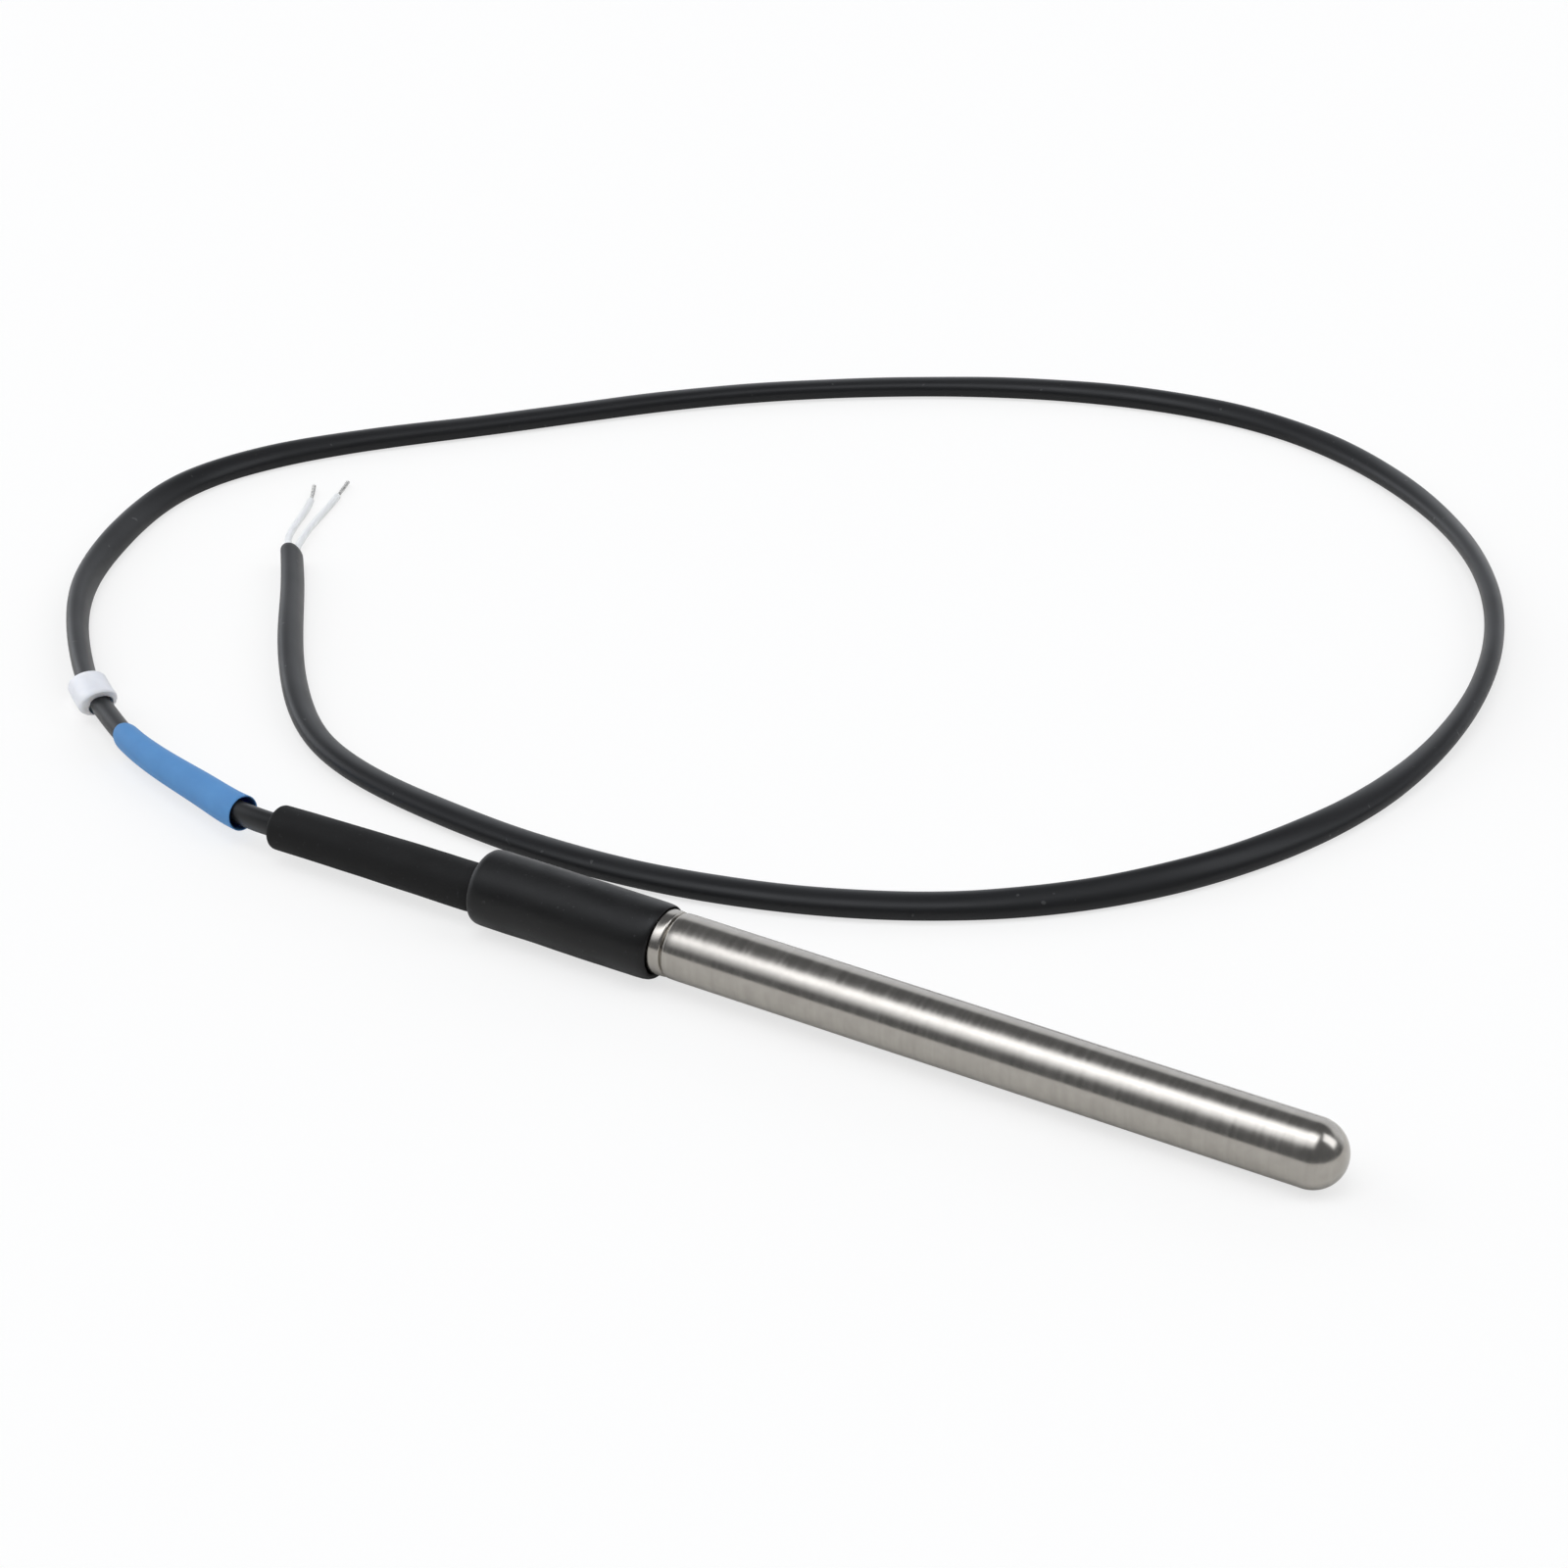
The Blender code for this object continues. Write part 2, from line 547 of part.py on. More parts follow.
def make_plug(resin):
    """Resin cast round the cores where the lead ends. The cores pass through two holes."""
    outer = SHEATH_BORE - FIT_GAP
    outline = [(PLUG_FRONT, 0), (PLUG_FRONT, outer), (PLUG_REAR, outer), (PLUG_REAR, 0)]
    plug = turned("potting_plug", outline, resin, PROBE, SLEEVE_SIDES)
    hole_radius = CORE_RADIUS + CORE_HOLE_GAP
    hole_front, hole_rear = PLUG_FRONT - CUT_PAST, PLUG_REAR + CUT_PAST
    for side in (-1, 1):
        outline = [(hole_front, 0), (hole_front, hole_radius), (hole_rear, hole_radius), (hole_rear, 0)]
        hole = turned("core_hole", outline, resin, PROBE, SMALL_SIDES, side * CORE_OFFSET)
        hole.hide_render = True
        hole.display_type = "WIRE"
        cut = plug.modifiers.new("core_hole", "BOOLEAN")
        cut.operation = "DIFFERENCE"
        cut.object = hole


def make_probe_axis():
    """The empty that carries the probe: its X axis leans back, and its origin is the dome's very end."""
    probe = bpy.data.objects.new("probe_axis", None)
    probe.location = on_probe(0)
    probe.rotation_euler = (0, LEAN, 0)
    bpy.context.scene.collection.objects.link(probe)
    return probe


for old in list(bpy.data.objects):
    bpy.data.objects.remove(old)

PROBE = make_probe_axis()
steel = material("stainless_steel", (0.56, 0.55, 0.53), 0.28, 1.0)
shrink_black = material("black_shrink", (0.022, 0.022, 0.024), 0.55)
lead_black = material("black_jacket", (0.025, 0.026, 0.028), 0.4)
marker_blue = material("blue_sleeve", (0.1, 0.28, 0.56), 0.5)
milky_white = material("milky_ring", (0.8, 0.8, 0.83), 0.35)
core_white = material("white_core", (0.82, 0.82, 0.8), 0.4)
tin = material("tinned_copper", (0.72, 0.71, 0.68), 0.3, 1.0)
solder = material("solder", (0.62, 0.62, 0.63), 0.35, 1.0)
nickel = material("nickel_wire", (0.6, 0.58, 0.54), 0.3, 1.0)
tube_clear = material("joint_tubing", (0.75, 0.74, 0.7), 0.35)
amber_film = material("amber_film", (0.5, 0.2, 0.03), 0.3)
ceramic = material("white_ceramic", (0.82, 0.81, 0.78), 0.4)
bead_glass = material("bead_glass", (0.75, 0.8, 0.72), 0.1)
paste_white = material("heat_paste", (0.78, 0.78, 0.76), 0.6)
resin = material("black_resin", (0.03, 0.03, 0.03), 0.3)

make_sheath(PROBE, steel)
make_seal_sleeve(PROBE, shrink_black)
make_strain_sleeve(shrink_black)
make_markers(marker_blue, milky_white)
make_lead_jacket(lead_black)
make_free_cores(core_white, tin)
make_inner_wiring(core_white, tube_clear, solder, nickel)
make_element(ceramic, bead_glass, paste_white)
make_liner(amber_film)
make_plug(resin)
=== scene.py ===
"""Looks of the temperature sensor: turned steel, shrink sleeves, an oval two-core lead and its markers.

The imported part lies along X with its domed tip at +X. Every new piece is built where its solid lies. Stations
on the probe are distances back from the very end of the dome. Distances on the lead are from its entry.
"""

import json
import math

import bmesh
import bpy
import numpy as np
from mathutils import Matrix, Vector

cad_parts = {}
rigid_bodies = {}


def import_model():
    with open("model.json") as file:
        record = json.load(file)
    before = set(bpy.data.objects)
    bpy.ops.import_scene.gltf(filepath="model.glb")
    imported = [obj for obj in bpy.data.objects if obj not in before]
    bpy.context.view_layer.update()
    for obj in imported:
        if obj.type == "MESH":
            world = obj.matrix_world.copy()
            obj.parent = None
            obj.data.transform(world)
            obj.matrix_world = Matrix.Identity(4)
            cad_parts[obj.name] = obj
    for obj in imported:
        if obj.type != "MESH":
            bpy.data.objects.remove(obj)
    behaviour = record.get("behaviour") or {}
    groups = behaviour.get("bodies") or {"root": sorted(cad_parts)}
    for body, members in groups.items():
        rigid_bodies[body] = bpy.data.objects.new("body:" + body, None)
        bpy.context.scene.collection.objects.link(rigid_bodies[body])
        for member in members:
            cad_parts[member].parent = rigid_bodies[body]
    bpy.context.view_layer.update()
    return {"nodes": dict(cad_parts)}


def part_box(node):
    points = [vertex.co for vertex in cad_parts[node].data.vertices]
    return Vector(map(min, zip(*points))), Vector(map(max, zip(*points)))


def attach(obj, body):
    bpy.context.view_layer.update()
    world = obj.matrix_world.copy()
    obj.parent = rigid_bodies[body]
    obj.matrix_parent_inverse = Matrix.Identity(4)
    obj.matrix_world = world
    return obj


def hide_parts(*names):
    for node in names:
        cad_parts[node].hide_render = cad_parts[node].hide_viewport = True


for old in list(bpy.data.objects):
    bpy.data.objects.remove(old)

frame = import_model()

MM = 0.001
UP = (0, 0, 1)

# Camera, set up as the photograph was taken
CAMERA_PLACE = Vector((128.97, -218.49, 164.55)) * MM
CAMERA_HEADING = Vector((-0.5048, 0.8632, 0.0)).normalized()
CAMERA_PITCH = math.radians(29.233)
CAMERA_LENS = 80.0
CAMERA_SENSOR = 36.0
CAMERA_NEAREST = 10 * MM
PICTURE_RIGHT = Vector((CAMERA_HEADING.y, -CAMERA_HEADING.x, 0.0))

# Steel sheath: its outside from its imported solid, a plain stretch behind its dome, and one rolled groove
SHEATH_LOW, SHEATH_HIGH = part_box("sheath")
SHEATH_RADIUS = 0.5 * (SHEATH_HIGH.y - SHEATH_LOW.y)
SHEATH_LENGTH = SHEATH_HIGH.x - SHEATH_LOW.x
SHEATH_WALL = 0.35 * MM
SHEATH_BORE = SHEATH_RADIUS - SHEATH_WALL
SHEATH_RIM_ROUND = 0.12 * MM
PLAIN_STRETCH = (58 * MM, 8 * MM)
GROOVE_FROM_REAR = 19.4 * MM
GROOVE_PLACE = SHEATH_LENGTH - GROOVE_FROM_REAR
GROOVE_REACH = 1.3 * MM
GROOVE_DEPTH = 0.3 * MM
GROOVE_HALF_WIDTH = 0.13 * MM
SHOULDER_DEPTH = 0.03 * MM
SHOULDER_HALF_WIDTH = 0.5 * MM
LEAN = math.asin((SHEATH_HIGH.z - 2 * SHEATH_RADIUS) / (SHEATH_LENGTH - SHEATH_RADIUS))

# Large shrink sleeve over the sheath's rear end
SEAL_COVER = 18.1 * MM
SEAL_OVERHANG = 0.7 * MM
SEAL_RADIUS = 3.55 * MM
SEAL_FRONT_INSET = 1.8 * MM
SEAL_REAR_INSET = 1.1 * MM
SEAL_DROP = 0.2 * MM
SEAL_SIDE = -0.1 * MM
SEAL_LIP_RADIUS = 3.05 * MM
SEAL_MOUTH_SLANT = math.radians(-3.0)
SEAL_TAIL_RADIUS = 2.36 * MM
SEAL_TAIL_DROP = 0.83 * MM
SEAL_MOUTH_BORE = 3.06 * MM
SEAL_MOUTH_BORE_DEPTH = 2.0 * MM
SEAL_REAR_BORE = 3.1 * MM
SEAL_REAR_BORE_GAP = 0.1 * MM
SEAL_REAR_BORE_DROP = 0.05 * MM
SEAL_WAVE = 0.09 * MM
SEAL_WAVE_LENGTH = 5.0 * MM

# Small shrink sleeve: squeezed inside the sheath, full behind it, a little thinner at its far end
STRAIN_START = 0.4 * MM
STRAIN_SQUEEZED_END = 5.2 * MM
STRAIN_SQUEEZED_RADIUS = 1.9 * MM
STRAIN_FULL_START = 6.8 * MM
STRAIN_FULL_END = 10 * MM
STRAIN_RADIUS = 2.27 * MM
STRAIN_END = 29.25 * MM
STRAIN_REAR_RADIUS = 2.135 * MM
STRAIN_REAR_INSET = 0.5 * MM
STRAIN_BORE = 1.62 * MM
STRAIN_BORE_FRONT_INSET = 0.1 * MM
STRAIN_BORE_REAR_INSET = 1 * MM
STRAIN_WAVE = 0.05 * MM
STRAIN_WAVE_LENGTH = 4.0 * MM

# Lead: an oval jacket over two cores, which turns slowly as it runs. At a fullness of 2 it is an ellipse.
# Its solid is a round rod, and where its route lies lower than lifted it comes down to the surface.
LEAD_ENTRY = 77.0 * MM
LEAD_START = 1.5 * MM
LEAD_HALF_WIDTH = 1.53 * MM
LEAD_HALF_HEIGHT = 1.04 * MM
LEAD_FULLNESS = 2.2
LEAD_CAD_RADIUS = 1.25 * MM
LEAD_LIFTED = 1.75 * MM
LEAD_STEP = 0.9 * MM
LEAD_CUT_BACK = 2.4 * MM
LEAD_CUT_INSET = 0.3 * MM
DIRECTION_REACH = 0.3 * MM

# Faint ripples of the jacket: share of its size, length and shift of each
LEAD_RIPPLES = [(0.006, 2.3 * MM, 0.0), (0.008, 7.1 * MM, 1.0)]

# The two cores and their bared strands, six laid round a straight one
CORE_OFFSET = 0.64 * MM
CORE_RADIUS = 0.4 * MM
CORE_START_BACK = 0.8 * MM
CORE_EDGE = 0.08 * MM
CORE_SAMPLES = 1500
STRAND_RADIUS = 0.07 * MM
STRAND_LENGTH = 4.0 * MM
STRAND_LAY = 2.6 * MM
STRAND_SPREAD = 2.03
STRAND_FRAY = 0.25
STRAND_HIDDEN = 0.1 * MM
STRAND_TIP = 0.05 * MM
STRAND_TIP_SHARE = 0.6
STRANDS_AROUND = 6
STRAND_SAMPLES = 400

# Markers on the lead
MARKER_START = 33.9 * MM
MARKER_LENGTH = 21.0 * MM
MARKER_WALL = 0.15 * MM
MARKER_MOUTH = (1.74 * MM, 1.74 * MM)
MARKER_FAR = (1.95 * MM, 1.32 * MM)
MARKER_INSET = 0.6 * MM
MARKER_BORE_INSET = 0.05 * MM
MARKER_HANG = 0.05 * MM
RING_START = 63.2 * MM
RING_LENGTH = 5.3 * MM
RING_INSET = 1 * MM
RING_RADIUS = 1.98 * MM
RING_BORE = (1.25 * MM, 1.47 * MM)
RING_SHIFT = (-0.2 * MM, 0.22 * MM)
RING_LEAN = math.radians(35)

ROUND_SIDES = 120
TUBE_SIDES = 72
LEAD_SIDES = 36
CORE_SIDES = 20
STRAND_SIDES = 8

# The noise of every finish, and the plain white that the camera sees behind the object
GRAIN_ROUGHNESS = 0.55
PLAIN_WHITE = (1, 1, 1, 1)

# Finishes inside the sheath: name, two tints, roughness, grains in a metre, their height in mm, metal
INNER_FINISHES = {
    "joint_tube": ("thin_pale_tubing", (0.7, 0.69, 0.64), (0.78, 0.77, 0.73), 0.35, 900, 0.004, 0.0),
    "solder_joint": ("bright_solder", (0.55, 0.55, 0.56), (0.68, 0.68, 0.69), 0.3, 1500, 0.01, 1.0),
    "element_lead": (
        "drawn_nickel", (0.55, 0.53, 0.49), (0.64, 0.62, 0.58), 0.28, (300, 4000, 4000), 0.002, 1.0,
    ),
    "sensing_chip": ("fired_ceramic", (0.78, 0.77, 0.73), (0.86, 0.85, 0.82), 0.45, 3500, 0.004, 0.0),
    "glass_bead": ("fused_glass", (0.7, 0.76, 0.67), (0.8, 0.84, 0.78), 0.12, 1200, 0.01, 0.0),
    "heat_paste": ("dried_heat_paste", (0.72, 0.72, 0.69), (0.83, 0.83, 0.81), 0.6, 1800, 0.03, 0.0),
    "liner_tube": (
        "amber_film", (0.42, 0.16, 0.02), (0.56, 0.24, 0.04), 0.2, (200, 2000, 2000), 0.004, 0.0,
    ),
    "potting_plug": ("cast_black_resin", (0.022, 0.022, 0.022), (0.04, 0.04, 0.042), 0.25, 800, 0.01, 0.0),
}

# Meshes: points closer than this are merged, and edges sharper than this stay hard
WELD = 0.0005 * MM
SHELL_SHARP = math.radians(40)
LOFT_SHARP = math.radians(50)

# White surface: its paint, and how much of it glows for the camera and for mirrors
FLOOR_SIZE = 8.0
FLOOR_DROP = 0.02 * MM
FLOOR_COLOUR = (0.99, 0.97, 0.93)
FLOOR_GLOW = 0.7
FLOOR_SHINE = 0.08

# Studio: the strength of each light, and the tint of them all
ROOM_LIGHT = 0.2
BACKDROP_LIGHT = 0.92
STRIP_LIGHT = 3.4
RIGHT_LIGHT = 2.5
LEFT_LIGHT = 1.3
STUDIO_TINT = (0.955, 0.985, 1.04)

# The long softbox over the probe: degrees from the near horizon and strength, with a skew towards one end
STRIP_STEPS = [
    (28, 0.0), (33, 0.18), (37, 0.62), (42, 1.14), (48, 1.66), (55, 2.25), (62, 3.4), (74, 3.4), (80, 2.0),
    (86, 0.65), (92, 0.1), (96, 0.0),
]
STRIP_SKEW = 12

# The lead's sag inside the probe, in millimetres: distance past its entry, drop below the axis
LEAD_SAG = [(0.0, 0.0), (2.0, 0.05), (3.7, 0.25), (5.3, 0.48), (6.6, 0.82), (8.0, 0.93)]

# The lead's route behind the probe, in millimetres: x, y and the height of its middle
LEAD_ROUTE = [
    (-34.7, 0.0, 3.09),
    (-42.3, 0.0, 3.09),
    (-50.3, -0.05, 3.08),
    (-55.2, 0.0, 3.02),
    (-58.6, 0.6, 2.84),
    (-63.2, 2.1, 2.67),
    (-69.6, 4.2, 2.47),
    (-77.2, 7.35, 2.22),
    (-82.1, 10.3, 2.03),
    (-87.4, 13.9, 1.9),
    (-93.2, 19.1, 1.72),
    (-104.3, 32.6, 1.35),
    (-109.7, 45.3, 1.25),
    (-111.8, 60.0, 1.25),
    (-107.1, 72.7, 1.25),
    (-92.2, 91.0, 1.25),
    (-76.3, 109.2, 1.25),
    (-57.8, 124.3, 1.25),
    (-36.8, 134.8, 1.25),
    (-12.3, 137.3, 1.25),
    (9.0, 127.3, 1.25),
    (24.9, 108.2, 1.25),
    (32.6, 83.5, 1.25),
    (31.4, 59.6, 1.25),
    (21.5, 36.4, 1.25),
    (8.1, 23.2, 1.25),
    (-7.8, 15.4, 1.25),
    (-26.7, 11.8, 1.25),
    (-45.5, 12.9, 1.25),
    (-61.4, 17.6, 1.25),
    (-71.0, 25.7, 1.25),
    (-78.3, 34.5, 1.25),
    (-85.2, 43.9, 1.25),
    (-91.7, 52.2, 1.25),
]

# The two free cores past the lead's end, in millimetres
FREE_CORES = [
    [(-94.2, 55.2, 0.9), (-96.2, 59.5, 0.5), (-97.9, 63.6, 0.45), (-100.3, 67.6, 0.45)],
    [(-92.8, 56.2, 0.9), (-94.5, 60.6, 0.5), (-95.9, 65.4, 0.45), (-97.6, 70.4, 0.45)],
]

# How the oval jacket turns as it runs: distance in millimetres, degrees from lying flat. A half turn gives
# the same oval, so at -180 it lies flat again.
LEAD_TILT = [
    (0, -232), (31, -236), (60, -240), (86, -256), (115, -220), (150, -186), (206, -180), (230, -194),
    (243, -202), (262, -194), (278, -178), (291, -147), (313, -96), (325, -70), (336, -40), (348, -14),
    (360, 26), (372, 46), (381, 48), (389, 32), (398, 6), (416, 10), (425, 8), (454, -8), (462, -10),
    (472, -26), (494, -56), (515, -62),
]
TILT_EASE = 12.0
TILT_EASE_STEPS = 13


def on_probe(station, up=0.0):
    """World place of a point on the probe's axis, or above it by up."""
    height = SHEATH_RADIUS + (station - SHEATH_RADIUS) * math.sin(LEAN) + up * math.cos(LEAN)
    return Vector((SHEATH_HIGH.x - station * math.cos(LEAN) + up * math.sin(LEAN), 0, height))


class Route:
    """A smooth curve through its own points, measured along its length."""

    def __init__(self, points, samples=6000):
        points = np.array([tuple(p) for p in points], float)
        knots = np.concatenate([[0], np.cumsum(np.linalg.norm(np.diff(points, axis=0), axis=1))])
        bends = self.natural_bends(knots, points)
        place = np.linspace(0, knots[-1], samples)
        span = np.clip(np.searchsorted(knots, place, side="right") - 1, 0, len(knots) - 2)
        width = np.diff(knots)[span][:, None]
        late = (place - knots[span])[:, None]
        early = width - late
        self.points = (
            (points[span] * early + points[span + 1] * late) / width
            + bends[span] * (early**3 / width - width * early) / 6
            + bends[span + 1] * (late**3 / width - width * late) / 6
        )
        steps = np.linalg.norm(np.diff(self.points, axis=0), axis=1)
        self.distance = np.concatenate([[0], np.cumsum(steps)])
        self.length = float(self.distance[-1])

    @staticmethod
    def natural_bends(knots, points):
        """Second derivatives of the natural cubic spline at its knots."""
        count = len(knots)
        gaps = np.diff(knots)
        slopes = np.diff(points, axis=0) / gaps[:, None]
        matrix = np.eye(count)
        right = np.zeros_like(points)
        for i in range(1, count - 1):
            matrix[i, i - 1 : i + 2] = gaps[i - 1], 2 * (gaps[i - 1] + gaps[i]), gaps[i]
            right[i] = 6 * (slopes[i] - slopes[i - 1])
        return np.linalg.solve(matrix, right)

    def at(self, distances):
        """Places on the route."""
        return np.stack([np.interp(distances, self.distance, self.points[:, k]) for k in range(3)], axis=-1)

    def frames(self, distances):
        """Places, with the directions across the route and up from it. Past its ends it runs straight on."""
        distances = np.asarray(distances, float)
        inside = np.clip(distances, 0, self.length)
        near = self.at(np.clip(inside - DIRECTION_REACH, 0, self.length))
        far = self.at(np.clip(inside + DIRECTION_REACH, 0, self.length))
        along = (far - near) / np.linalg.norm(far - near, axis=1)[:, None]
        across = np.cross(along, UP)
        across /= np.linalg.norm(across, axis=1)[:, None]
        return self.at(inside) + along * (distances - inside)[:, None], across, np.cross(across, along)


def lead_route():
    """From the probe's axis, inside the sheath, out and round on the surface."""
    inside = [on_probe(LEAD_ENTRY + step * MM, -drop * MM) for step, drop in LEAD_SAG]
    return Route(inside + [Vector(p) * MM for p in LEAD_ROUTE])


LEAD = lead_route()
LEAD_STOP = LEAD.length - LEAD_CUT_BACK


def lead_tilt(distances):
    """The jacket's lean in radians, eased so that it has no kinks."""
    chosen, degrees = zip(*LEAD_TILT)
    shifts = np.linspace(-TILT_EASE, TILT_EASE, TILT_EASE_STEPS)
    eased = [np.interp(np.asarray(distances) / MM + shift, chosen, degrees) for shift in shifts]
    return np.radians(np.mean(eased, axis=0))


def lead_sections(distances, half_width, half_height):
    """The oval section along the lead: its places and directions, and how far its points lie along those."""
    distances = np.asarray(distances, float)
    places, across, up = LEAD.frames(distances)
    angles = np.linspace(0, 2 * math.pi, LEAD_SIDES, endpoint=False)
    power = 2 / LEAD_FULLNESS
    wide = np.sign(np.cos(angles)) * np.abs(np.cos(angles)) ** power
    high = np.sign(np.sin(angles)) * np.abs(np.sin(angles)) ** power
    ripple = 1 + sum(share * np.sin(distances / length + shift) for share, length, shift in LEAD_RIPPLES)
    wide = wide * (half_width * ripple)[:, None]
    high = high * (half_height * ripple)[:, None]
    tilt = lead_tilt(distances)[:, None]
    sideways = wide * np.cos(tilt) - high * np.sin(tilt)
    upwards = wide * np.sin(tilt) + high * np.cos(tilt)
    return places, across, up, sideways, upwards


def lead_middles(distances):
    """The jacket's own middle line. On the surface, the oval is set down so that it just touches it."""
    full = np.full(len(distances), 1.0)
    places, _, _, _, upwards = lead_sections(distances, full * LEAD_HALF_WIDTH, full * LEAD_HALF_HEIGHT)
    grounded = np.clip((LEAD_LIFTED - places[:, 2]) / (LEAD_LIFTED - LEAD_CAD_RADIUS), 0, 1)
    places[:, 2] += grounded * (-upwards.min(axis=1) - LEAD_CAD_RADIUS)
    return places


def make_camera():
    """Looks down at the surface from in front of the probe, at its right."""
    data = bpy.data.cameras.new("camera")
    data.lens = CAMERA_LENS
    data.sensor_width = CAMERA_SENSOR
    data.clip_start = CAMERA_NEAREST
    camera = bpy.data.objects.new("camera", data)
    bpy.context.scene.collection.objects.link(camera)
    towards = CAMERA_HEADING * math.cos(CAMERA_PITCH) - Vector((0, 0, math.sin(CAMERA_PITCH)))
    camera.location = CAMERA_PLACE
    camera.rotation_mode = "QUATERNION"
    camera.rotation_quaternion = towards.to_track_quat("-Z", "Y")
    bpy.context.scene.camera = camera


def add_node(finish, kind, settings=None, **sockets):
    """Adds a node. Settings are its own properties, and sockets are values or links by socket name."""
    node = finish.node_tree.nodes.new(kind)
    for name, value in (settings or {}).items():
        setattr(node, name, value)
    for name, value in sockets.items():
        socket = node.inputs[name.replace("_", " ")]
        if isinstance(value, bpy.types.NodeSocket):
            finish.node_tree.links.new(value, socket)
        else:
            socket.default_value = value
    return node


def new_finish(name, roughness, metallic=0.0, **fixed):
    """A material with its Principled shader. Fixed values go straight on the shader's own sockets."""
    finish = bpy.data.materials.new(name)
    finish.use_nodes = True
    shader = finish.node_tree.nodes["Principled BSDF"]
    shader.inputs["Roughness"].default_value = roughness
    shader.inputs["Metallic"].default_value = metallic
    for socket, value in fixed.items():
        shader.inputs[socket.replace("_", " ")].default_value = value
    return finish, shader


def grain(finish, scale, detail=3.0, turn=(0, 0, 0), source="Object"):
    """Noise on the piece's own coordinates. Scale is how many grains a metre holds, for all axes or each."""
    scale = scale if isinstance(scale, tuple) else (scale, scale, scale)
    coordinates = add_node(finish, "ShaderNodeTexCoord")
    placed = add_node(
        finish, "ShaderNodeMapping", Vector=coordinates.outputs[source], Scale=scale, Rotation=turn
    )
    noise = add_node(
        finish, "ShaderNodeTexNoise", Vector=placed.outputs["Vector"], Scale=1.0, Detail=detail,
        Roughness=GRAIN_ROUGHNESS,
    )
    return noise.outputs["Fac"]


def ranged(finish, factor, low, high, start=0.3, stop=0.7):
    """A value that runs from low to high while the factor runs from start to stop."""
    node = add_node(finish, "ShaderNodeMapRange", Value=factor)
    for socket, value in zip(("From Min", "From Max", "To Min", "To Max"), (start, stop, low, high)):
        node.inputs[socket].default_value = value
    return node.outputs["Result"]


def calculated(finish, operation, first, second):
    """The result of one Math node."""
    node = add_node(finish, "ShaderNodeMath", {"operation": operation})
    for socket, value in zip(node.inputs, (first, second)):
        if isinstance(value, bpy.types.NodeSocket):
            finish.node_tree.links.new(value, socket)
        else:
            socket.default_value = value
    return node.outputs["Value"]


def tinted(finish, factor, first, second):
    """A colour between two, by a factor from 0 to 1."""
    node = finish.node_tree.nodes.new("ShaderNodeMix")
    node.data_type = "RGBA"
    finish.node_tree.links.new(factor, node.inputs[0])
    for socket, colour in ((node.inputs[6], first), (node.inputs[7], second)):
        socket.default_value = (*colour, 1)
    return node.outputs[2]


def raised(finish, factor, height, below=None):
    """A bump of that height in metres, on top of another bump if one is given."""
    sockets = {"Height": factor, "Distance": height, "Strength": 1.0}
    if below is not None:
        sockets["Normal"] = below
    return add_node(finish, "ShaderNodeBump", **sockets).outputs["Normal"]


def connect(finish, shader, **sockets):
    """Links sources to the shader's sockets."""
    for name, source in sockets.items():
        finish.node_tree.links.new(source, shader.inputs[name.replace("_", " ")])


def steel_finish():
    """Turned stainless steel: fine rings round the tube and a soft mottle."""
    finish, shader = new_finish("turned_stainless_steel", 0.22, 1.0)
    dark, light = (0.352, 0.331, 0.3), (0.406, 0.383, 0.348)
    rings = grain(finish, (1900, 90, 90), turn=(0, LEAN, 0))
    mottle = grain(finish, 900, 4.0)
    mixture = calculated(finish, "MULTIPLY", calculated(finish, "ADD", rings, mottle), 0.5)
    connect(
        finish, shader, Roughness=ranged(finish, rings, 0.16, 0.23),
        Base_Color=tinted(finish, ranged(finish, mixture, 0, 1, start=0.38, stop=0.62), dark, light),
        Normal=raised(finish, mottle, 0.0009 * MM),
    )
    return finish


def shrink_finish(name, colour, roughness, specular):
    """Matt shrink tubing: a dull black skin with a fine grain, soft waves and a little dust."""
    finish, shader = new_finish(name, roughness, Specular_IOR_Level=specular)
    dust_colour = (0.024, 0.024, 0.025)
    unevenness = 0.06
    skin = grain(finish, 6500, 2.0)
    waves = grain(finish, (240, 420, 420), 2.0)
    dust = ranged(finish, grain(finish, 2600, 1.0), 0, 1, start=0.7, stop=0.8)
    connect(
        finish, shader, Base_Color=tinted(finish, dust, colour, dust_colour),
        Roughness=ranged(finish, waves, roughness - unevenness, roughness + unevenness),
        Normal=raised(finish, waves, 0.03 * MM, raised(finish, skin, 0.008 * MM)),
    )
    return finish


def jacket_finish():
    """Satin black jacket: a fine skin, faint lines along it from its die, dull patches and a few specks."""
    finish, shader = new_finish("satin_black_jacket", 0.38, Specular_IOR_Level=0.23)
    black, speck_colour = (0.0118, 0.012, 0.0126), (0.05, 0.05, 0.05)
    lines = grain(finish, (46, 90, 1), source="UV")
    skin = grain(finish, 3000, 2.0)
    specks = ranged(finish, grain(finish, 1500, 0.0), 0, 1, start=0.82, stop=0.88)
    dull = grain(finish, 90, 2.0)
    connect(
        finish, shader, Base_Color=tinted(finish, specks, black, speck_colour),
        Roughness=ranged(finish, dull, 0.33, 0.44),
        Normal=raised(finish, lines, 0.004 * MM, raised(finish, skin, 0.0025 * MM)),
    )
    return finish


def scatter(shader, depth, colours):
    """How deep light goes under a skin, in metres, and its share of that for red, green and blue."""
    shader.inputs["Subsurface Radius"].default_value = colours
    shader.inputs["Subsurface Scale"].default_value = depth


